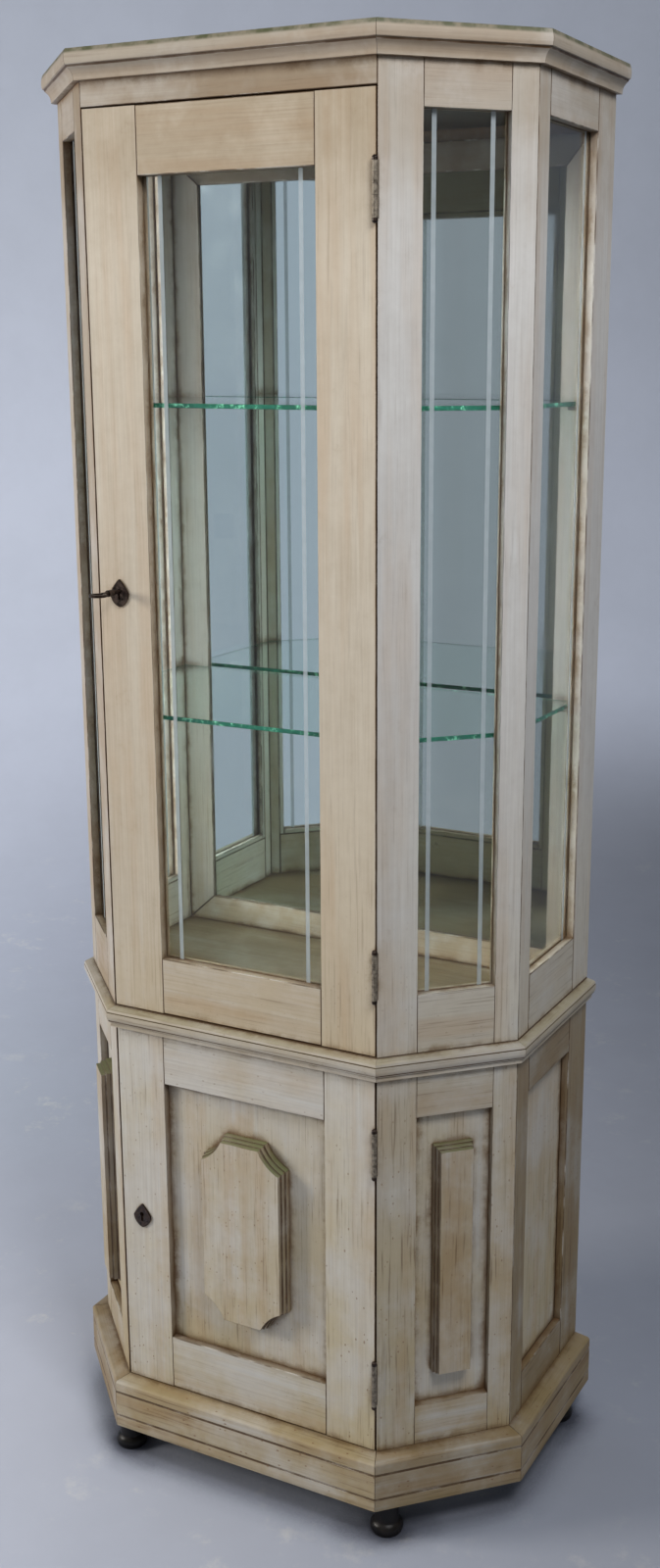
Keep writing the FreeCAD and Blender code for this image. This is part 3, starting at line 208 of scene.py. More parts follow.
def copy_of(node, name):
    """A new piece with the node's shape: its loose triangles are merged, each solid apart from
    the next where they touch, and its flat faces are joined."""
    source = NODES[node].data
    mesh = bpy.data.meshes.new(name)
    work = bmesh.new()
    corners, unmatched = {}, set()
    for face in source.polygons:
        keys = [tuple(round(c, MERGE_DIGITS) for c in source.vertices[v].co)
                for v in face.vertices]
        for key in keys:
            if key not in corners:
                corners[key] = work.verts.new(key)
        work.faces.new([corners[key] for key in keys])
        for first, last in zip(keys, keys[1:] + keys[:1]):
            if (last, first) in unmatched:
                unmatched.remove((last, first))
            else:
                unmatched.add((first, last))
        if not unmatched:  # this solid's skin is closed
            corners = {}
    work.to_mesh(mesh)
    work.free()
    if unmatched:
        raise RuntimeError("the skin of %s is open" % node)
    piece = bpy.data.objects.new(name, mesh)
    bpy.context.scene.collection.objects.link(piece)
    pick(piece)
    bpy.ops.object.mode_set(mode="EDIT")
    bpy.ops.mesh.select_all(action="SELECT")
    bpy.ops.mesh.dissolve_limited(angle_limit=FLAT)
    bpy.ops.object.mode_set(mode="OBJECT")
    return piece


def shrink(piece, amount):
    """Moves every face in by the same amount, which opens the joints between members."""
    work = bmesh.new()
    work.from_mesh(piece.data)
    moves = []
    for corner in work.verts:
        walls = []
        for face in corner.link_faces:
            if all(face.normal.dot(wall) < SAME_WAY for wall in walls):
                walls.append(face.normal.copy())
        # The tiny start lets a corner between fewer than three walls be solved too.
        pull, spread = Vector((0, 0, 0)), Matrix.Identity(3) * 0.000001
        for wall in walls:
            pull -= amount * wall
            spread += Matrix([wall * part for part in wall])
        moves.append(spread.inverted() @ pull)
    for corner, move in zip(work.verts, moves):
        corner.co += move
    work.to_mesh(piece.data)
    work.free()


def add_marks(mesh):
    """Gives the mesh an empty material for each mark."""
    while len(mesh.materials) <= QUIRK:
        mesh.materials.append(None)


def bevel_edges(piece, wanted, width):
    """Bevels the edges that are wanted, marks the new faces as quirks and stays in edit mode.
    Returns whether there were any."""
    mesh = piece.data
    add_marks(mesh)
    pick(piece)
    bpy.ops.object.mode_set(mode="EDIT")
    bpy.ops.mesh.select_mode(type="EDGE")
    bpy.ops.mesh.select_all(action="DESELECT")
    work = bmesh.from_edit_mesh(mesh)
    for edge in work.edges:
        edge.select = wanted(edge)
    work.select_flush_mode()
    found = any(edge.select for edge in work.edges)
    if found:
        bmesh.update_edit_mesh(mesh)
        bpy.ops.mesh.bevel(offset=width, segments=2, material=QUIRK, clamp_overlap=True)
    return found


def inner(edge):
    return (len(edge.link_faces) == 2 and not edge.is_convex
            and edge.calc_face_angle() > INNER_CORNER)


def round_edges(piece, width, quirk=0.0):
    """Rounds the outer edges and fills the inner ones, where glaze gathers. The new faces are
    marked for the paint: 1 on outer edges and -1 in quirks."""
    mesh = piece.data
    add_marks(mesh)
    if quirk:
        bevel_edges(piece, inner, quirk)
        bpy.ops.object.mode_set(mode="OBJECT")
    modify(piece, "BEVEL", width=width, segments=2, limit_method="ANGLE",
           angle_limit=OUTER_CORNER, material=WORN)
    worn = mesh.attributes.new("arris", "FLOAT", "FACE")
    marks = {PLAIN: 0.0, WORN: 1.0, QUIRK: -1.0}
    for face in mesh.polygons:
        worn.data[face.index].value = marks[face.material_index]
        face.material_index = 0
    mesh.materials.clear()


def smooth(piece):
    pick(piece)
    bpy.ops.object.shade_smooth_by_angle(angle=SMOOTH_BELOW)
    modify(piece, "WEIGHTED_NORMAL", keep_sharp=True, weight=50)


def islands(mesh):
    """Lists of the vertices of each separate shell."""
    parent = list(range(len(mesh.vertices)))

    def top(index):
        while parent[index] != index:
            parent[index] = parent[parent[index]]
            index = parent[index]
        return index

    for edge in mesh.edges:
        first, last = (top(v) for v in edge.vertices)
        parent[first] = last
    shells = {}
    for index in range(len(parent)):
        shells.setdefault(top(index), []).append(index)
    return list(shells.values())


def shells_of(mesh):
    """The mesh's separate shells, and the number of each vertex's shell."""
    shells = islands(mesh)
    return shells, {index: number for number, shell in enumerate(shells) for index in shell}


# How far a node's paint is worn and shaded: green on its ledges, brown patina, and painted shade
# inside. On pieces that lie in shade, such as the cornice and the lower side frames, the patina
# is painted shade as well. The first name that is part of the node's own counts.
WEAR_AND_SHADE = (("cornice", (0.5, 0.35, 0.0)), ("fascia", (0.0, 0.9, 0.07)),
        ("plinth_front", (0.12, 0.5, 0.0)), ("plinth", (0.12, 1.15, 0.18)),
        ("waist", (0.3, 0.3, 0.0)), ("cant_plaques", (1.0, 0.6, 0.05)),
        ("plaque", (1.0, 0.25, 0.0)), ("ceiling", (0.0, 0.7, 1.0)),
        ("deck", (0.0, 1.0, 0.3)), ("lower_door_panel", (0.0, 0.15, 0.02)),
        ("lower_side", (0.0, 1.05, 0.3)), ("lower_panels", (0.0, 0.05, 0.0)),
        ("lower_cant", (0.0, 0.25, 0.05)), ("back_board", (0.0, 0.2, 0.3)),
        ("upper_cant_frame_left", (0.0, 0.8, 0.0)))
TALL = 0.5  # metres: the mirror frame's uprights are longer than this, and paler than its bars
UPRIGHT_PATINA, BAR_PATINA = 0.2, 0.95
SHADED_ABOVE = 1.87  # metres: the mirror frame's top bar lies in the ceiling's shade, painted darker
TOP_BAR_SHADE, MIRROR_FRAME_SHADE = 0.85, 0.1


def lay_wear_and_shade(piece):
    """Stores how much moss, patina and painted shade this piece's paint has."""
    mesh = piece.data
    moss, patina, inside_shade = next((amounts for part, amounts in WEAR_AND_SHADE if part in piece.name),
                              (0.0, 0.0, 0.0))
    wear = mesh.attributes.new("wear", "FLOAT_VECTOR", "POINT")
    for shell in islands(mesh):
        heights = [mesh.vertices[index].co.z for index in shell]
        if "mirror_frame" in piece.name:
            patina = UPRIGHT_PATINA if max(heights) - min(heights) > TALL else BAR_PATINA
            inside_shade = TOP_BAR_SHADE if min(heights) > SHADED_ABOVE else MIRROR_FRAME_SHADE
        for index in shell:
            wear.data[index].vector = (moss, patina, inside_shade)


def score(piece, height, width=0.0008, depth=0.0009):
    """Cuts a fine groove along a moulding, at the edges that run at this height."""
    def along(edge):
        return (all(abs(v.co.z - height) < GROOVE_REACH for v in edge.verts)
                and edge.calc_length() > SHORTEST_GROOVE and edge.is_convex)

    if not bevel_edges(piece, along, width):
        raise RuntimeError("%s has no edge at %.4f m" % (piece.name, height))
    work = bmesh.from_edit_mesh(piece.data)
    for vertex in work.verts:
        cut = [face for face in vertex.link_faces if face.material_index == QUIRK]
        if len(cut) == 2 and abs(vertex.co.z - height) < width / 2:
            vertex.co -= depth * (cut[0].normal + cut[1].normal).normalized()
    bmesh.update_edit_mesh(piece.data)
    bpy.ops.object.mode_set(mode="OBJECT")


def brown_reveals(piece, amount):
    """Marks the narrow faces along each member, which show in the reveals of an opening, to be
    painted dark: brown glaze and painted shade.
    """
    mesh = piece.data
    worn = mesh.attributes["arris"]
    shells, shell_of = shells_of(mesh)
    broad = [mesh.polygons[0]] * len(shells)
    for face in mesh.polygons:
        number = shell_of[face.vertices[0]]
        if face.area > broad[number].area:
            broad[number] = face
    for face in mesh.polygons:
        number = shell_of[face.vertices[0]]
        narrow = abs(face.normal.dot(broad[number].normal)) < SIDEWAYS
        if narrow and worn.data[face.index].value == 0:
            worn.data[face.index].value = -amount


def lay_grain(piece):
    """Stores the way each member's grain runs, along its longest edge, and a number of its own."""
    mesh = piece.data
    mesh.attributes.new("grain", "FLOAT_VECTOR", "POINT")
    mesh.attributes.new("member", "FLOAT", "POINT")
    shells, shell_of = shells_of(mesh)
    longest = [Vector((0, 0, 0))] * len(shells)
    for edge in mesh.edges:
        first, last = (mesh.vertices[v].co for v in edge.vertices)
        number = shell_of[edge.vertices[0]]
        if (last - first).length > longest[number].length:
            longest[number] = last - first
    grain, member = mesh.attributes["grain"], mesh.attributes["member"]
    for number, shell in enumerate(shells):
        mark = zlib.crc32(("%s %d" % (piece.name, number)).encode()) % 997 / 997
        way = longest[number].normalized()
        for index in shell:
            grain.data[index].vector = way
            member.data[index].value = mark


def dress(piece, material, nodes=(), body=None):
    """Gives a finished piece its material and its body, and hides the nodes that it stands for."""
    if material:
        piece.data.materials.clear()
        piece.data.materials.append(material)
    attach(piece, body or BODY_OF[nodes[0]])
    if nodes:
        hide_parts(*nodes)
    return piece


def softened(node, width, joint=0.0, scored=(), reveals=0.0, **rounding):
    """The node's shape with worn edges, ready for paint."""
    piece = copy_of(node, "soft_" + node)
    if joint:
        shrink(piece, joint)
    for height in scored:
        score(piece, height)
    round_edges(piece, width, **rounding)
    smooth(piece)
    if reveals:
        brown_reveals(piece, reveals)
    lay_grain(piece)
    lay_wear_and_shade(piece)
    return dress(piece, materials()[SLOT_OF[node]], [node])


# Materials.
def place_node(tree, kind, feeds=None, **values):
    """A shader node with its own values; feeds are sockets or plain values for its inputs."""
    item = tree.nodes.new("ShaderNode" + kind)
    for name, value in values.items():
        setattr(item, name, value)
    for name, feed in (feeds or {}).items():
        socket = item.inputs[name]
        if isinstance(feed, bpy.types.NodeSocket):
            tree.links.new(feed, socket)
        else:
            socket.default_value = feed
    return item


def calc(tree, operation, *feeds, clamp=False):
    return place_node(tree, "Math", dict(enumerate(feeds)), operation=operation,
                      use_clamp=clamp).outputs[0]


def vector(tree, operation, *feeds, **named):
    item = place_node(tree, "VectorMath", {**dict(enumerate(feeds)), **named},
                      operation=operation)
    return item.outputs["Value" if operation == "DOT_PRODUCT" else "Vector"]


def blend(tree, factor, first, second, kind="MIX"):
    item = place_node(tree, "Mix", {0: factor}, data_type="RGBA", blend_type=kind)
    for number, feed in ((6, first), (7, second)):
        if isinstance(feed, bpy.types.NodeSocket):
            tree.links.new(feed, item.inputs[number])
        else:
            item.inputs[number].default_value = (*feed[:3], 1)
    return item.outputs[2]


def ramp(tree, value, low, high, start=0.0, end=1.0):
    """start up to low, end from high on, and a smooth step between them."""
    return place_node(tree, "MapRange", {"Value": value, "From Min": low, "From Max": high,
                                         "To Min": start, "To Max": end},
                      interpolation_type="SMOOTHSTEP").outputs[0]


def noise(tree, place, scale, detail=3.0, rough=0.55):
    return place_node(tree, "TexNoise", {"Vector": place, "Scale": scale, "Detail": detail,
                                         "Roughness": rough}).outputs["Fac"]


def group(name, inputs, outputs):
    """A new node group with named sockets. Returns its tree, its inputs and its end node."""
    tree = bpy.data.node_groups.new(name, "ShaderNodeTree")
    kinds = {"color": "NodeSocketColor", "vector": "NodeSocketVector", "value": "NodeSocketFloat"}
    for label, kind in inputs:
        tree.interface.new_socket(label, in_out="INPUT", socket_type=kinds[kind])
    for label, kind in outputs:
        tree.interface.new_socket(label, in_out="OUTPUT", socket_type=kinds[kind])
    start = tree.nodes.new("NodeGroupInput")
    end = tree.nodes.new("NodeGroupOutput")
    return tree, start.outputs, end.inputs


def aged_paint_group():
    """Brushed cream paint with brown glaze in its streaks, corners, edges and low down, with
    painted shade in corners, high up, inside and in reveals, and a painted highlight on crests.
    """
    tree, given, out = group(
        "aged_paint",
        [("Paint", "color"), ("Glaze", "color"), ("Moss", "color"), ("Grain", "vector"),
         ("Member", "value"), ("Arris", "value"), ("Wear", "vector"), ("Streaks", "value"),
         ("Crevices", "value"), ("Stain", "value")],
        [("Color", "color"), ("Roughness", "value"), ("Height", "value")])
    place = place_node(tree, "TexCoord").outputs["Object"]
    grain = given["Grain"]
    along = vector(tree, "DOT_PRODUCT", place, grain)
    shift = vector(tree, "SCALE", (7.1, 3.3, 5.7), Scale=given["Member"])
    moved = vector(tree, "ADD", place, shift)

    def streaked(across, lengthways, detail):
        """Noise drawn out along the grain; both numbers are its scale per metre."""
        drawn = vector(tree, "SCALE", grain,
                       Scale=calc(tree, "MULTIPLY", along, lengthways - across))
        even = vector(tree, "SCALE", place, Scale=across)
        where = vector(tree, "ADD", vector(tree, "ADD", even, drawn),
                       vector(tree, "SCALE", shift, Scale=9.0))
        return noise(tree, where, 1.0, detail, 0.6)

    fine = streaked(360.0, 7.0, 4.0)
    broad = streaked(80.0, 2.5, 3.0)
    cloud = noise(tree, moved, 7.0, 5.0, 0.6)
    stipple = noise(tree, moved, 48.0, 5.0, 0.65)
    brushed = calc(tree, "MULTIPLY", given["Streaks"], ramp(tree, cloud, 0.35, 0.65, 2.4, 0.7))
    tone = calc(tree, "MULTIPLY_ADD", calc(tree, "SUBTRACT", fine, 0.5), brushed, 0.5)
    tone = calc(tree, "MULTIPLY_ADD", calc(tree, "SUBTRACT", stipple, 0.5), 0.8, tone)
    tone = calc(tree, "MULTIPLY_ADD", calc(tree, "SUBTRACT", broad, 0.5), 0.45, tone)
    tone = calc(tree, "MULTIPLY_ADD", calc(tree, "SUBTRACT", cloud, 0.5), 1.2, tone, clamp=True)
    dark = blend(tree, 0.22, given["Paint"], given["Glaze"])
    pale = blend(tree, 0.16, given["Paint"], BRUSHED_PALE)
    painted = blend(tree, tone, dark, pale)

    height = place_node(tree, "SeparateXYZ", {0: place}).outputs["Z"]
    warm = calc(tree, "MULTIPLY", ramp(tree, streaked(30.0, 1.6, 2.0), 0.42, 0.66),
                ramp(tree, cloud, 0.3, 0.6, 0.3, 0.9))
    painted = blend(tree, warm, painted, WARM_TINT, "MULTIPLY")
    residue = calc(tree, "MULTIPLY", ramp(tree, streaked(300.0, 9.0, 3.0), 0.52, 0.72),
                   ramp(tree, cloud, 0.38, 0.62, 0.2, 1.0))
    residue = calc(tree, "MULTIPLY", residue, ramp(tree, height, 1.1, 0.4, 0.2, 0.62))
    painted = blend(tree, residue, painted, given["Glaze"])

    # Stains low down and patina where a piece is worn; painted shade high up and on level members.
    wear = place_node(tree, "SeparateXYZ", {0: given["Wear"]}).outputs
    low = ramp(tree, height, 1.4, 0.05)
    low = calc(tree, "MULTIPLY", low, given["Stain"])
    # Painted shade: darker high up, and on members whose grain lies level, the rails.
    level = calc(tree, "ABSOLUTE", place_node(tree, "SeparateXYZ", {0: grain}).outputs["Z"])
    high = calc(tree, "ADD", ramp(tree, height, 1.72, 1.93, 0.0, 0.85),
                ramp(tree, level, 0.7, 0.3, 0.0, 0.22))
    patch = ramp(tree, cloud, 0.3, 0.65, 0.45, 1.35)
    for amount, tint in ((low, LOW_TINT), (wear["Y"], PATINA_AND_SHADE_TINT), (high, HIGH_SHADE_TINT)):
        painted = blend(tree, calc(tree, "MULTIPLY", amount, patch, clamp=True), painted,
                        tint, "MULTIPLY")
    chalk = calc(tree, "MULTIPLY", ramp(tree, broad, 0.5, 0.75), ramp(tree, height, 1.2, 0.5))
    chalk = calc(tree, "MULTIPLY", chalk, ramp(tree, cloud, 0.6, 0.4, 0.0, 0.3))
    painted = blend(tree, chalk, painted, CHALK)

    # Green on ledges and dark rims, laid on at the end, and painted shade inside.
    facing = place_node(tree, "SeparateXYZ", {
        0: place_node(tree, "NewGeometry").outputs["Normal"]}).outputs["Z"]
    rims = calc(tree, "MAXIMUM", ramp(tree, height, *TOP_RIM), ramp(tree, height, *FOOT_RIM))
    rims = calc(tree, "MULTIPLY", rims, ramp(tree, stipple, 0.35, 0.65, 0.9, 1.9))
    rims = calc(tree, "MULTIPLY", rims, wear["X"])
    ledge = calc(tree, "MULTIPLY", ramp(tree, facing, 0.35, 0.75), wear["X"])
    ledge = calc(tree, "MULTIPLY", ledge, ramp(tree, cloud, 0.35, 0.6, 0.35, 0.8), clamp=True)
    # Painted shade inside, from the third wear number.
    painted = blend(tree, calc(tree, "MULTIPLY", wear["Z"], 0.95), painted, INSIDE_SHADE_TINT,
                    "MULTIPLY")

    # Corners: a soft, browned painted shade from ambient occlusion, and glaze closer in.
    closed = place_node(tree, "AmbientOcclusion", {"Distance": CORNER_REACH},
                        samples=6).outputs["AO"]
    blotch = noise(tree, vector(tree, "SCALE", moved, Scale=24.0), 1.0, 4.0, 0.6)
    ragged = calc(tree, "MULTIPLY_ADD", calc(tree, "SUBTRACT", stipple, 0.5), 0.9, closed)
    corner_shade = calc(tree, "MULTIPLY", ramp(tree, ragged, 0.93, 0.66), given["Crevices"])
    corner_shade = calc(tree, "MULTIPLY", corner_shade, ramp(tree, blotch, 0.35, 0.6, 0.1, 0.9), clamp=True)
    painted = blend(tree, corner_shade, painted, CORNER_SHADE_TINT, "MULTIPLY")
    corner = calc(tree, "MULTIPLY", ramp(tree, ragged, 0.73, 0.57), given["Crevices"])
    corner = calc(tree, "MULTIPLY", corner, ramp(tree, blotch, 0.25, 0.6, 0.55, 1.25), clamp=True)
    painted = blend(tree, corner, painted, given["Glaze"])

    # Edges: paler crests, worn paint and a painted highlight, rubbed places, joints and quirks.
    edge = calc(tree, "MAXIMUM", given["Arris"], 0.0)
    crest_highlight = calc(tree, "MULTIPLY", edge, ramp(tree, blotch, 0.5, 0.35, 0.0, 0.5))
    painted = blend(tree, crest_highlight, painted, CREST_HIGHLIGHT)
    rubbed = calc(tree, "MULTIPLY", edge, ramp(tree, blotch, 0.38, 0.6, 0.12, 0.8))
    joint = calc(tree, "MULTIPLY", edge, ramp(tree, closed, 0.98, 0.84, 0.0, 0.95))
    # Quirks take glaze; the narrow faces in reveals take glaze and painted shade.
    inward = calc(tree, "MAXIMUM", calc(tree, "MULTIPLY", given["Arris"], -1.0), 0.0)
    quirk = calc(tree, "MULTIPLY", inward, ramp(tree, blotch, 0.3, 0.6, 0.7, 1.0))
    dirt_and_shade = calc(tree, "MAXIMUM", calc(tree, "MAXIMUM", rubbed, joint), quirk)
    painted = blend(tree, dirt_and_shade, painted, vector(tree, "SCALE", given["Glaze"], Scale=0.55))
    painted = blend(tree, ledge, painted, given["Moss"])
    painted = blend(tree, rims, painted, vector(tree, "SCALE", given["Moss"], Scale=0.45))

    # Small brown flecks, long with the grain and thicker low down.
    drawn = vector(tree, "SCALE", grain, Scale=calc(tree, "MULTIPLY", along, 0.35))
    flecked = vector(tree, "SUBTRACT", moved, drawn)
    dots = place_node(tree, "TexVoronoi", {"Vector": flecked, "Scale": 170.0})
    chance = place_node(tree, "SeparateXYZ", {0: dots.outputs["Color"]}).outputs
    spread = calc(tree, "MULTIPLY_ADD", chance["Y"], 0.2, 0.03)
    specks = calc(tree, "MULTIPLY", calc(tree, "LESS_THAN", dots.outputs["Distance"], spread),
                  ramp(tree, calc(tree, "MULTIPLY_ADD", blotch, 1.4, chance["X"]), 1.35, 1.5))
    specks = calc(tree, "MULTIPLY", specks, ramp(tree, height, 1.1, 0.2, 0.0, 0.7))
    painted = blend(tree, specks, painted, FLECK)

    tree.links.new(painted, out["Color"])
    tree.links.new(calc(tree, "MULTIPLY_ADD", cloud, 0.22, 0.38), out["Roughness"])
    tree.links.new(calc(tree, "MULTIPLY_ADD", broad, 0.4, fine), out["Height"])
    return tree


def new_material(name):
    """An empty node material. Returns it, its tree and its output's socket."""
    material = bpy.data.materials.new(name)
    material.use_nodes = True
    tree = material.node_tree
    tree.nodes.clear()
    return material, tree, tree.nodes.new("ShaderNodeOutputMaterial").inputs["Surface"]


def painted_wood(name, paint):
    """Aged paint. Pieces say how their grain runs; a node without that has none."""
    settings = bpy.context.scene.cabinet_paint
    material, tree, surface = new_material(name)
    known = {mark: place_node(tree, "Attribute", attribute_name=mark).outputs
             for mark in ("grain", "member", "arris", "wear")}
    item = tree.nodes.new("ShaderNodeGroup")
    item.node_tree = bpy.data.node_groups.get("aged_paint") or aged_paint_group()
    for label, value in (("Paint", paint), ("Glaze", settings.glaze), ("Moss", settings.moss)):
        item.inputs[label].default_value = (*value, 1)
    for label, value in (("Streaks", settings.streaks), ("Crevices", settings.crevices),
                         ("Stain", settings.stain)):
        item.inputs[label].default_value = value
    for mark, output in (("grain", "Vector"), ("member", "Fac"), ("arris", "Fac"),
                         ("wear", "Vector")):
        tree.links.new(known[mark][output], item.inputs[mark.capitalize()])
    bump = place_node(tree, "Bump", {"Strength": 0.5, "Distance": BRUSH_DEPTH,
                                     "Height": item.outputs["Height"]})
    shader = place_node(tree, "BsdfPrincipled", {
        "Base Color": item.outputs["Color"], "Roughness": item.outputs["Roughness"],
        "Specular IOR Level": 0.35, "Normal": bump.outputs["Normal"]})
    tree.links.new(shader.outputs[0], surface)
    return material


def clear_glass(name, tint, haze=0.02):
    """Glass that lets the lamps through to what is behind it, faintly smeared."""
    material, tree, surface = new_material(name)
    place = place_node(tree, "TexCoord").outputs["Object"]
    smear = ramp(tree, noise(tree, place, 14.0, 5.0), 0.5, 0.8, haze, haze + 0.05)
    glass = place_node(tree, "BsdfPrincipled", {
        "Base Color": (*tint, 1), "Roughness": smear, "IOR": 1.4, "Transmission Weight": 1.0})
    open_way = place_node(tree, "BsdfTransparent", {"Color": (*tint, 1)})
    lamps = place_node(tree, "LightPath").outputs["Is Shadow Ray"]
    mixed = place_node(tree, "MixShader", {0: lamps, 1: glass.outputs[0],
                                           2: open_way.outputs[0]})
    tree.links.new(mixed.outputs[0], surface)
    return material


def green_edge():
    """The ground edge of a shelf: deep green, with bright chips that are also a painted highlight.
    """
    material, tree, surface = new_material("shelf_edge")
    place = place_node(tree, "TexCoord").outputs["Object"]
    chips = noise(tree, place, 80.0, 5.0, 0.8)
    shade = blend(tree, ramp(tree, chips, 0.52, 0.66), linear(8, 104, 78), linear(150, 238, 192))
    bump = place_node(tree, "Bump", {"Strength": 0.6, "Distance": 0.0005, "Height": chips})
    shader = place_node(tree, "BsdfPrincipled", {
        "Base Color": shade, "Roughness": 0.15, "Transmission Weight": 0.25, "IOR": 1.5,
        "Normal": bump.outputs["Normal"]})
    tree.links.new(shader.outputs[0], surface)
    return material


def etched_lines():
    material, tree, surface = new_material("etched_lines")
    place = place_node(tree, "TexCoord").outputs["Object"]
    cloudy = noise(tree, place, 60.0, 4.0)
    shade = blend(tree, cloudy, (0.46, 0.52, 0.53), (0.66, 0.72, 0.73))
    shader = place_node(tree, "BsdfPrincipled", {"Base Color": shade, "Roughness": 0.9,
                                                 "Alpha": 0.38})
    tree.links.new(shader.outputs[0], surface)
    return material


def mirror_glass():
    """Old silvering: a faint haze and small grey spots, and a painted shade towards its right end.
    """
    material, tree, surface = new_material("mirror")
    place = place_node(tree, "TexCoord").outputs["Object"]
    haze = noise(tree, place, 5.0, 6.0, 0.65)
    spots = place_node(tree, "TexVoronoi", {"Vector": place, "Scale": 42.0}).outputs["Distance"]
    spotted = calc(tree, "MULTIPLY", ramp(tree, spots, 0.16, 0.08), ramp(tree, haze, 0.56, 0.7))
    silver = blend(tree, haze, (0.70, 0.81, 0.77), (0.82, 0.91, 0.87))
    # Painted shade: the silver is darker towards +x, which dims the reflection there.
    across = place_node(tree, "SeparateXYZ", {0: place}).outputs["X"]
    silver = blend(tree, ramp(tree, across, -0.08, 0.14), silver, (0.69, 0.66, 0.63), "MULTIPLY")
    silver = blend(tree, calc(tree, "MULTIPLY", spotted, 0.6), silver, (0.18, 0.18, 0.17))
    shader = place_node(tree, "BsdfPrincipled", {
        "Base Color": silver, "Metallic": 1.0,
        "Roughness": ramp(tree, haze, 0.35, 0.75, 0.0, 0.05)})
    tree.links.new(shader.outputs[0], surface)
    return material


def worn_metal(name, dark, pale, metallic, low_rough, high_rough, scale=180.0, specular=0.5):
    """Metal or stain that varies in tone and gloss, darker in its corners."""
    material, tree, surface = new_material(name)
    place = place_node(tree, "TexCoord").outputs["Object"]
    mottled = noise(tree, place, scale, 5.0, 0.65)
    closed = place_node(tree, "AmbientOcclusion", {"Distance": 0.004}, samples=6).outputs["AO"]
    shade = blend(tree, ramp(tree, mottled, 0.3, 0.7), dark, pale)
    shade = blend(tree, ramp(tree, closed, 0.9, 0.3), shade, tuple(0.4 * c for c in dark))
    bump = place_node(tree, "Bump", {"Strength": 0.3, "Distance": 0.0003, "Height": mottled})
    shader = place_node(tree, "BsdfPrincipled", {
        "Base Color": shade, "Metallic": metallic, "Normal": bump.outputs["Normal"],
        "Specular IOR Level": specular,
        "Roughness": ramp(tree, mottled, 0.3, 0.7, low_rough, high_rough)})
    tree.links.new(shader.outputs[0], surface)
    return material


def materials(made={}):
    """All finishes by the name of their slot, made once."""
    if not made:
        paint = bpy.context.scene.cabinet_paint
        made["case_paint"] = painted_wood("case_paint", paint.case)
        made["door_paint"] = painted_wood("door_paint", paint.door)
        made["inside_paint"] = painted_wood("inside_paint", paint.inside)
        made["window_glass"] = clear_glass("window_glass", (0.93, 0.965, 0.965))
        made["shelf_glass"] = clear_glass("shelf_glass", (0.86, 0.96, 0.92), 0.01)
        made["shelf_edge"] = green_edge()
        made["etched_lines"] = etched_lines()
        made["mirror"] = mirror_glass()
        made["dark_feet"] = worn_metal("dark_feet", linear(12, 10, 10), linear(26, 22, 21),
                                       0.0, 0.3, 0.5, 60.0, 0.3)
        made["hinge_iron"] = worn_metal("hinge_iron", linear(78, 68, 57), linear(156, 145, 128),
                                        0.35, 0.4, 0.65)
        made["dark_iron"] = worn_metal("dark_iron", linear(29, 21, 18), linear(66, 50, 42),
                                       0.5, 0.25, 0.5)
        made["lock_metal"] = worn_metal("lock_metal", linear(120, 114, 104),
                                        linear(168, 162, 150), 0.9, 0.3, 0.5)
    return made


# Operators.
class CabinetOperator:
    """What every operator here shares."""

    bl_options = {"REGISTER", "UNDO"}

    def execute(self, context):
        self.make(context.scene)
        return {"FINISHED"}


class CABINET_OT_frames(CabinetOperator, bpy.types.Operator):
    """Stiles, rails and panels of the case, with worn edges and open joints"""

    bl_idname = "cabinet.frames"
    bl_label = "Case frames"
    made_from = [tier + part + side for tier in ("lower_", "upper_")
                 for part in ("cant_frame_", "side_frame_") for side in ("left", "right")]
    made_from += ["lower_panels_left", "lower_panels_right", "fascia_rail",
                  "glazing_beads_left", "glazing_beads_right"]

    def make(self, scene):
        shape = scene.cabinet_shape
        for node in self.made_from:
            softened(node, shape.edge, shape.joint, reveals=CASE_REVEALS["upper" not in node])


class CABINET_OT_mouldings(CabinetOperator, bpy.types.Operator):
    """Plinth, waist and cornice, mitred at the corners"""

    bl_idname = "cabinet.mouldings"
    bl_label = "Mouldings"

    def make(self, scene):
        shape = scene.cabinet_shape
        for part, scored in (("plinth", ()), ("waist", WAIST_GROOVES), ("cornice", ())):
            for run in ("front", "left", "right"):
                softened("%s_%s" % (part, run), shape.moulding_edge, shape.joint, scored,
                         quirk=shape.quirk)


class CABINET_OT_boards(CabinetOperator, bpy.types.Operator):
    """Deck, floor, ceiling, top and back boards"""

    bl_idname = "cabinet.boards"
    bl_label = "Boards"

    def make(self, scene):
        for node in ("plinth_back", "base_board", "deck_board", "top_board", "ceiling_board",
                     "lower_back_panel", "back_board", "mirror_frame"):
            softened(node, scene.cabinet_shape.edge)


class CABINET_OT_doors(CabinetOperator, bpy.types.Operator):
    """Stiles, rails, panel and glazing beads of both doors"""

    bl_idname = "cabinet.doors"
    bl_label = "Doors"

    def make(self, scene):
        shape = scene.cabinet_shape
        for node in ("upper_door_stiles", "upper_door_rails", "door_beads", "lower_door_stiles",
                     "lower_door_rails", "lower_door_panel"):
            softened(node, shape.edge, shape.joint, reveals=DOOR_REVEALS["lower" in node])


class CABINET_OT_plaques(CabinetOperator, bpy.types.Operator):
    """Raised plaques of the cupboard, with their moulded borders"""

    bl_idname = "cabinet.plaques"
    bl_label = "Plaques"

    def make(self, scene):
        for node in ("lower_door_plaque", "lower_cant_plaques"):
            softened(node, scene.cabinet_shape.edge, quirk=scene.cabinet_shape.quirk,
                     reveals=PLAQUE_SIDES)


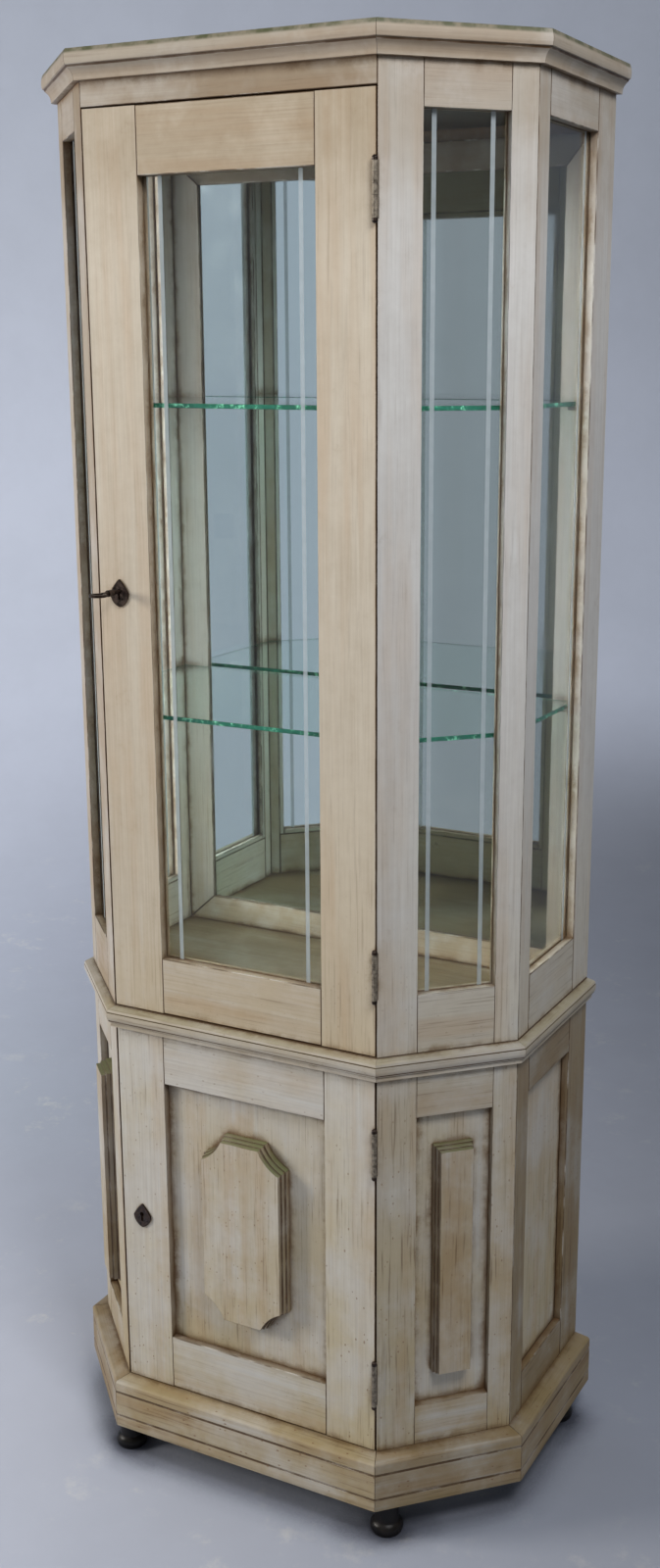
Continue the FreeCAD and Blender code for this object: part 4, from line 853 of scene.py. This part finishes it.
def etched_line(name, pane, foot, outward, bottom, top, width):
    """A narrow frosted band on a pane's face. foot is its middle, at the pane's outer face."""
    deselect()
    bpy.ops.mesh.primitive_cube_add(size=1, location=(0, 0, 0))
    band = pick(bpy.context.object)
    band.name = band.data.name = name
    up = Vector((0, 0, 1))
    turned = Matrix((Vector(outward).cross(up), outward, up)).transposed()
    band.data.transform(Matrix.Diagonal((width, LINE_THICKNESS, top - bottom, 1)))
    band.data.transform(turned.to_4x4())
    middle = Vector((foot[0], foot[1], (bottom + top) / 2)) + LINE_LIFT * Vector(outward)
    band.data.transform(Matrix.Translation(middle))
    modify(band, "BEVEL", width=LINE_ROUNDING, segments=1, limit_method="ANGLE")
    return dress(band, materials()["etched_lines"], body=BODY_OF[pane])


class CABINET_OT_etching(CabinetOperator, bpy.types.Operator):
    """Frosted lines down both edges of every pane"""

    bl_idname = "cabinet.etching"
    bl_label = "Etched lines"

    def make(self, scene):
        width = scene.cabinet_shape.line_width
        for side, name in ((-1, "left"), (1, "right")):
            etched_line("etched_line_door_" + name, "door_glass", (side * DOOR_LINE, DOOR_PANE),
                        (0, -1, 0), *DOOR_SIGHT, width)
            outward = (side * CANT_SLANT, -CANT_SLANT, 0)
            for number, along in enumerate(CANT_LINES):
                foot = (side * (CANT_CORNER[0] + CANT_SLANT * (along - CANT_REBATE)),
                        CANT_CORNER[1] + CANT_SLANT * (along + CANT_REBATE))
                etched_line("etched_line_cant_%s_%d" % (name, number), "cant_glass_" + name,
                            foot, outward, *CASE_SIGHT, width)
            for number, depth in enumerate(SIDE_LINES):
                etched_line("etched_line_side_%s_%d" % (name, number), "side_glass_" + name,
                            (side * SIDE_PANE, depth), (side, 0, 0), *CASE_SIGHT, width)


def finish_node(node, material):
    NODES[node].data.materials.clear()
    NODES[node].data.materials.append(material)


class CABINET_OT_glass(CabinetOperator, bpy.types.Operator):
    """Panes, mirror, and shelves with their green edges"""

    bl_idname = "cabinet.glass"
    bl_label = "Glass"

    def make(self, scene):
        finish = materials()
        for node in ("door_glass", "cant_glass_left", "cant_glass_right", "side_glass_left",
                     "side_glass_right"):
            finish_node(node, finish["window_glass"])
        finish_node("mirror", finish["mirror"])
        for node in ("glass_shelf_lower", "glass_shelf_upper"):
            shelf = copy_of(node, "soft_" + node)
            round_edges(shelf, SHELF_EDGE)
            smooth(shelf)
            shelf.data.materials.append(finish["shelf_glass"])
            shelf.data.materials.append(finish["shelf_edge"])
            for face in shelf.data.polygons:
                face.material_index = int(abs(face.normal.z) < 0.5)
            dress(shelf, None, [node])


class CABINET_OT_ironwork(CabinetOperator, bpy.types.Operator):
    """Hinges, keyhole plates, key, locks, pegs and feet"""

    bl_idname = "cabinet.ironwork"
    bl_label = "Ironwork and feet"

    def make(self, scene):
        finish = materials()
        for node in ("case_hinge_leaves", "hinge_pins", "upper_door_hinge_leaves",
                     "lower_door_hinge_leaves", "upper_escutcheon", "lower_escutcheon", "key",
                     "upper_lock_case", "lower_lock_case", "upper_bolt", "lower_bolt",
                     "shelf_pegs", "feet"):
            finish_node(node, finish["dark_iron" if node == "hinge_pins" else SLOT_OF[node]])


def lamp(name, place, target, power, size, shade=(1, 1, 1)):
    """A square soft lamp that faces a point."""
    data = bpy.data.lights.new(name, "AREA")
    data.energy, data.size, data.color = power, size, shade
    item = bpy.data.objects.new(name, data)
    bpy.context.scene.collection.objects.link(item)
    item.location = place
    item.rotation_euler = (Vector(target) - Vector(place)).to_track_quat("-Z", "Y").to_euler()
    return item


def stage_material(name, studio):
    """Plain studio paper with a faint tooth, scuffed on the floor, with painted shade: darker
    towards the right, most of all low down, darker higher up, and a painted contact shadow round
    what stands on it. The mirror and the panes show the part in front of the cabinet as an even
    background."""
    shade = studio.floor
    material, tree, surface = new_material(name)
    place = place_node(tree, "TexCoord").outputs["Object"]
    tooth = noise(tree, place, 5.0, 6.0, 0.65)
    scuffs = calc(tree, "MULTIPLY", ramp(tree, noise(tree, place, 11.0, 6.0, 0.7), 0.54, 0.72),
                  ramp(tree, noise(tree, place, 2.3, 2.0), 0.45, 0.58, 0.0, 0.8))
    toned = blend(tree, ramp(tree, tooth, 0.3, 0.7), tuple(0.98 * c for c in shade),
                  tuple(1.02 * c for c in shade))
    height = place_node(tree, "SeparateXYZ", {0: place}).outputs["Z"]
    scuffs = calc(tree, "MULTIPLY", scuffs, ramp(tree, height, 0.15, 0.0))
    toned = blend(tree, scuffs, toned, (1.0, 1.0, 1.0))
    # Painted shade: the paper is darker towards the right of the view, most of all low down.
    sideways = vector(tree, "DOT_PRODUCT", place, TO_THE_RIGHT)
    dim = calc(tree, "MULTIPLY", ramp(tree, sideways, -1.6, 1.4),
               ramp(tree, height, 0.05, 0.6, 1.0, 0.1))
    toned = blend(tree, dim, toned, (0.32, 0.32, 0.32), "MULTIPLY")
    # Painted shade: the backdrop is darker higher up.
    toned = blend(tree, ramp(tree, height, 1.0, 2.2), toned, (0.86, 0.86, 0.85), "MULTIPLY")
    toned = blend(tree, ramp(tree, height, 0.25, 0.9), toned, (0.93, 0.93, 0.92), "MULTIPLY")
    # Painted contact shadow: the floor is darker where something stands close to it.
    near = place_node(tree, "AmbientOcclusion", {"Distance": SHADOW_REACH},
                      samples=8).outputs["AO"]
    toned = blend(tree, ramp(tree, near, 0.88, 0.58), toned, (0.2, 0.2, 0.22), "MULTIPLY")
    shader = place_node(tree, "BsdfPrincipled", {"Base Color": toned, "Roughness": 0.85,
                                                 "Specular IOR Level": 0.1})
    seen = place_node(tree, "BsdfTransparent")
    back = place_node(tree, "NewGeometry").outputs["Backfacing"]
    mixed = place_node(tree, "MixShader", {0: back, 1: shader.outputs[0], 2: seen.outputs[0]})
    # Painted reflection: rays through glass or off the mirror see the sheet in front as an even
    # glow.
    path = place_node(tree, "LightPath").outputs
    even = place_node(tree, "Emission", {
        "Color": blend(tree, path["Is Transmission Ray"], studio.reflected, studio.backdrop)})
    before = calc(tree, "LESS_THAN", vector(tree, "DOT_PRODUCT", place, FROM_CAMERA), IN_FRONT)
    through = calc(tree, "MAXIMUM", path["Is Transmission Ray"], path["Is Glossy Ray"])
    mixed = place_node(tree, "MixShader", {0: calc(tree, "MULTIPLY", before, through),
                                           1: mixed.outputs[0], 2: even.outputs[0]})
    tree.links.new(mixed.outputs[0], surface)
    return material


class CABINET_OT_studio(CabinetOperator, bpy.types.Operator):
    """Floor that sweeps up behind the cabinet, lamps, even light and the camera"""

    bl_idname = "cabinet.studio"
    bl_label = "Studio"

    def make(self, scene):
        studio = scene.cabinet_studio
        self.sweep(studio)
        self.light(scene, studio)
        self.camera(scene)

    def sweep(self, studio):
        """A wide sheet, level under the cabinet and curving up behind it, open from behind."""
        deselect()
        bpy.ops.mesh.primitive_plane_add(size=1, location=(0, 0, 0))
        sheet = bpy.context.object
        sheet.name = "studio_sweep"
        bpy.ops.object.mode_set(mode="EDIT")
        bpy.ops.transform.resize(value=SHEET)
        bpy.ops.transform.translate(value=(0, SHEET_FORWARD, 0))
        bpy.ops.mesh.select_all(action="DESELECT")
        bpy.ops.object.mode_set(mode="OBJECT")
        for edge in sheet.data.edges:
            edge.select = all(sheet.data.vertices[v].co.y > 0 for v in edge.vertices)
        bpy.ops.object.mode_set(mode="EDIT")
        bpy.ops.mesh.select_mode(type="EDGE")
        run = SWEEP_RADIUS * math.radians(90) / SWEEP_STEPS
        for step in range(SWEEP_STEPS):
            turn = math.radians(90) * (step + 0.5) / SWEEP_STEPS
            bpy.ops.mesh.extrude_region_move(TRANSFORM_OT_translate={
                "value": (0, run * math.cos(turn), run * math.sin(turn))})
        bpy.ops.mesh.extrude_region_move(TRANSFORM_OT_translate={"value": (0, 0, WALL_HEIGHT)})
        bpy.ops.object.mode_set(mode="OBJECT")
        sheet.data.transform(Matrix.Rotation(math.radians(VIEW_TURN), 4, "Z"))
        bpy.ops.object.shade_smooth_by_angle(angle=math.radians(40))
        sheet.data.materials.append(stage_material("studio_paper", studio))

    def light(self, scene, studio):
        lamp("key_lamp", place=(-3.3, -2.1, 2.1), target=(0, -0.2, 1.15), power=studio.key,
             size=1.1, shade=(1.0, 0.96, 0.90))
        lamp("high_lamp", place=(1.6, -1.3, 3.05), target=(0.2, 0, 1.5), power=studio.fill,
             size=0.9, shade=(0.98, 0.98, 1.0))
        lamp("backdrop_lamp", place=(-2.33, 1.06, 1.9), target=(-2.35, 3.29, 1.5),
             power=studio.back, size=1.0)
        world = bpy.data.worlds.new("studio_world")
        scene.world = world
        world.use_nodes = True
        tree = world.node_tree
        tree.nodes.clear()
        path = place_node(tree, "LightPath").outputs
        even = place_node(tree, "Background", {"Color": (0.80, 0.88, 1.0, 1),
                                               "Strength": studio.ambient})
        seen = place_node(tree, "Background", {"Color": (*studio.backdrop, 1), "Strength": 1.0})
        room = place_node(tree, "Background", {"Color": (*studio.reflected, 1), "Strength": 1.0})
        direct = calc(tree, "MAXIMUM", path["Is Camera Ray"], path["Is Transmission Ray"])
        mixed = place_node(tree, "MixShader", {0: path["Is Glossy Ray"], 1: even.outputs[0],
                                               2: room.outputs[0]})
        mixed = place_node(tree, "MixShader", {0: direct, 1: mixed.outputs[0],
                                               2: seen.outputs[0]})
        end = tree.nodes.new("ShaderNodeOutputWorld")
        tree.links.new(mixed.outputs[0], end.inputs["Surface"])
        scene.view_settings.view_transform = "Standard"

    def camera(self, scene):
        """The camera found from the cabinet's own edges: 27 degrees to the right, looking down."""
        data = bpy.data.cameras.new("photo_camera")
        data.sensor_width = CAMERA_SENSOR
        data.lens = CAMERA_LENS
        data.shift_x = CAMERA_SHIFT
        data.clip_start = 0.05
        camera = bpy.data.objects.new("photo_camera", data)
        scene.collection.objects.link(camera)
        camera.location = CAMERA_PLACE
        camera.rotation_euler = (math.radians(90 - CAMERA_DOWN), 0, math.radians(CAMERA_TURN))
        scene.camera = camera


class CABINET_PT_panel(bpy.types.Panel):
    """Sizes, colours and the steps that make the cabinet's looks"""

    bl_idname = "CABINET_PT_panel"
    bl_label = "Display cabinet"
    bl_space_type = "VIEW_3D"
    bl_region_type = "UI"
    bl_category = "Cabinet"

    def draw(self, context):
        for name in SETTINGS:
            settings = getattr(context.scene, name)
            box = self.layout.box()
            for key in settings.__annotations__:
                box.prop(settings, key)
        for operator in OPERATORS:
            self.layout.operator(operator.bl_idname)


SETTINGS = {"cabinet_paint": CabinetPaint, "cabinet_shape": CabinetShape,
            "cabinet_studio": CabinetStudio}
OPERATORS = (CABINET_OT_studio, CABINET_OT_frames, CABINET_OT_mouldings, CABINET_OT_boards,
             CABINET_OT_doors, CABINET_OT_plaques, CABINET_OT_glass, CABINET_OT_etching,
             CABINET_OT_ironwork)


def register():
    for name, settings in SETTINGS.items():
        bpy.utils.register_class(settings)
        setattr(bpy.types.Scene, name, PointerProperty(type=settings))
    for item in (*OPERATORS, CABINET_PT_panel):
        bpy.utils.register_class(item)


def unregister():
    for item in (CABINET_PT_panel, *reversed(OPERATORS)):
        bpy.utils.unregister_class(item)
    for name, settings in SETTINGS.items():
        delattr(bpy.types.Scene, name)
        bpy.utils.unregister_class(settings)


def main():
    register()
    for operator in OPERATORS:
        group_name, call = operator.bl_idname.split(".")
        getattr(getattr(bpy.ops, group_name), call)()


if __name__ == "__main__":
    main()
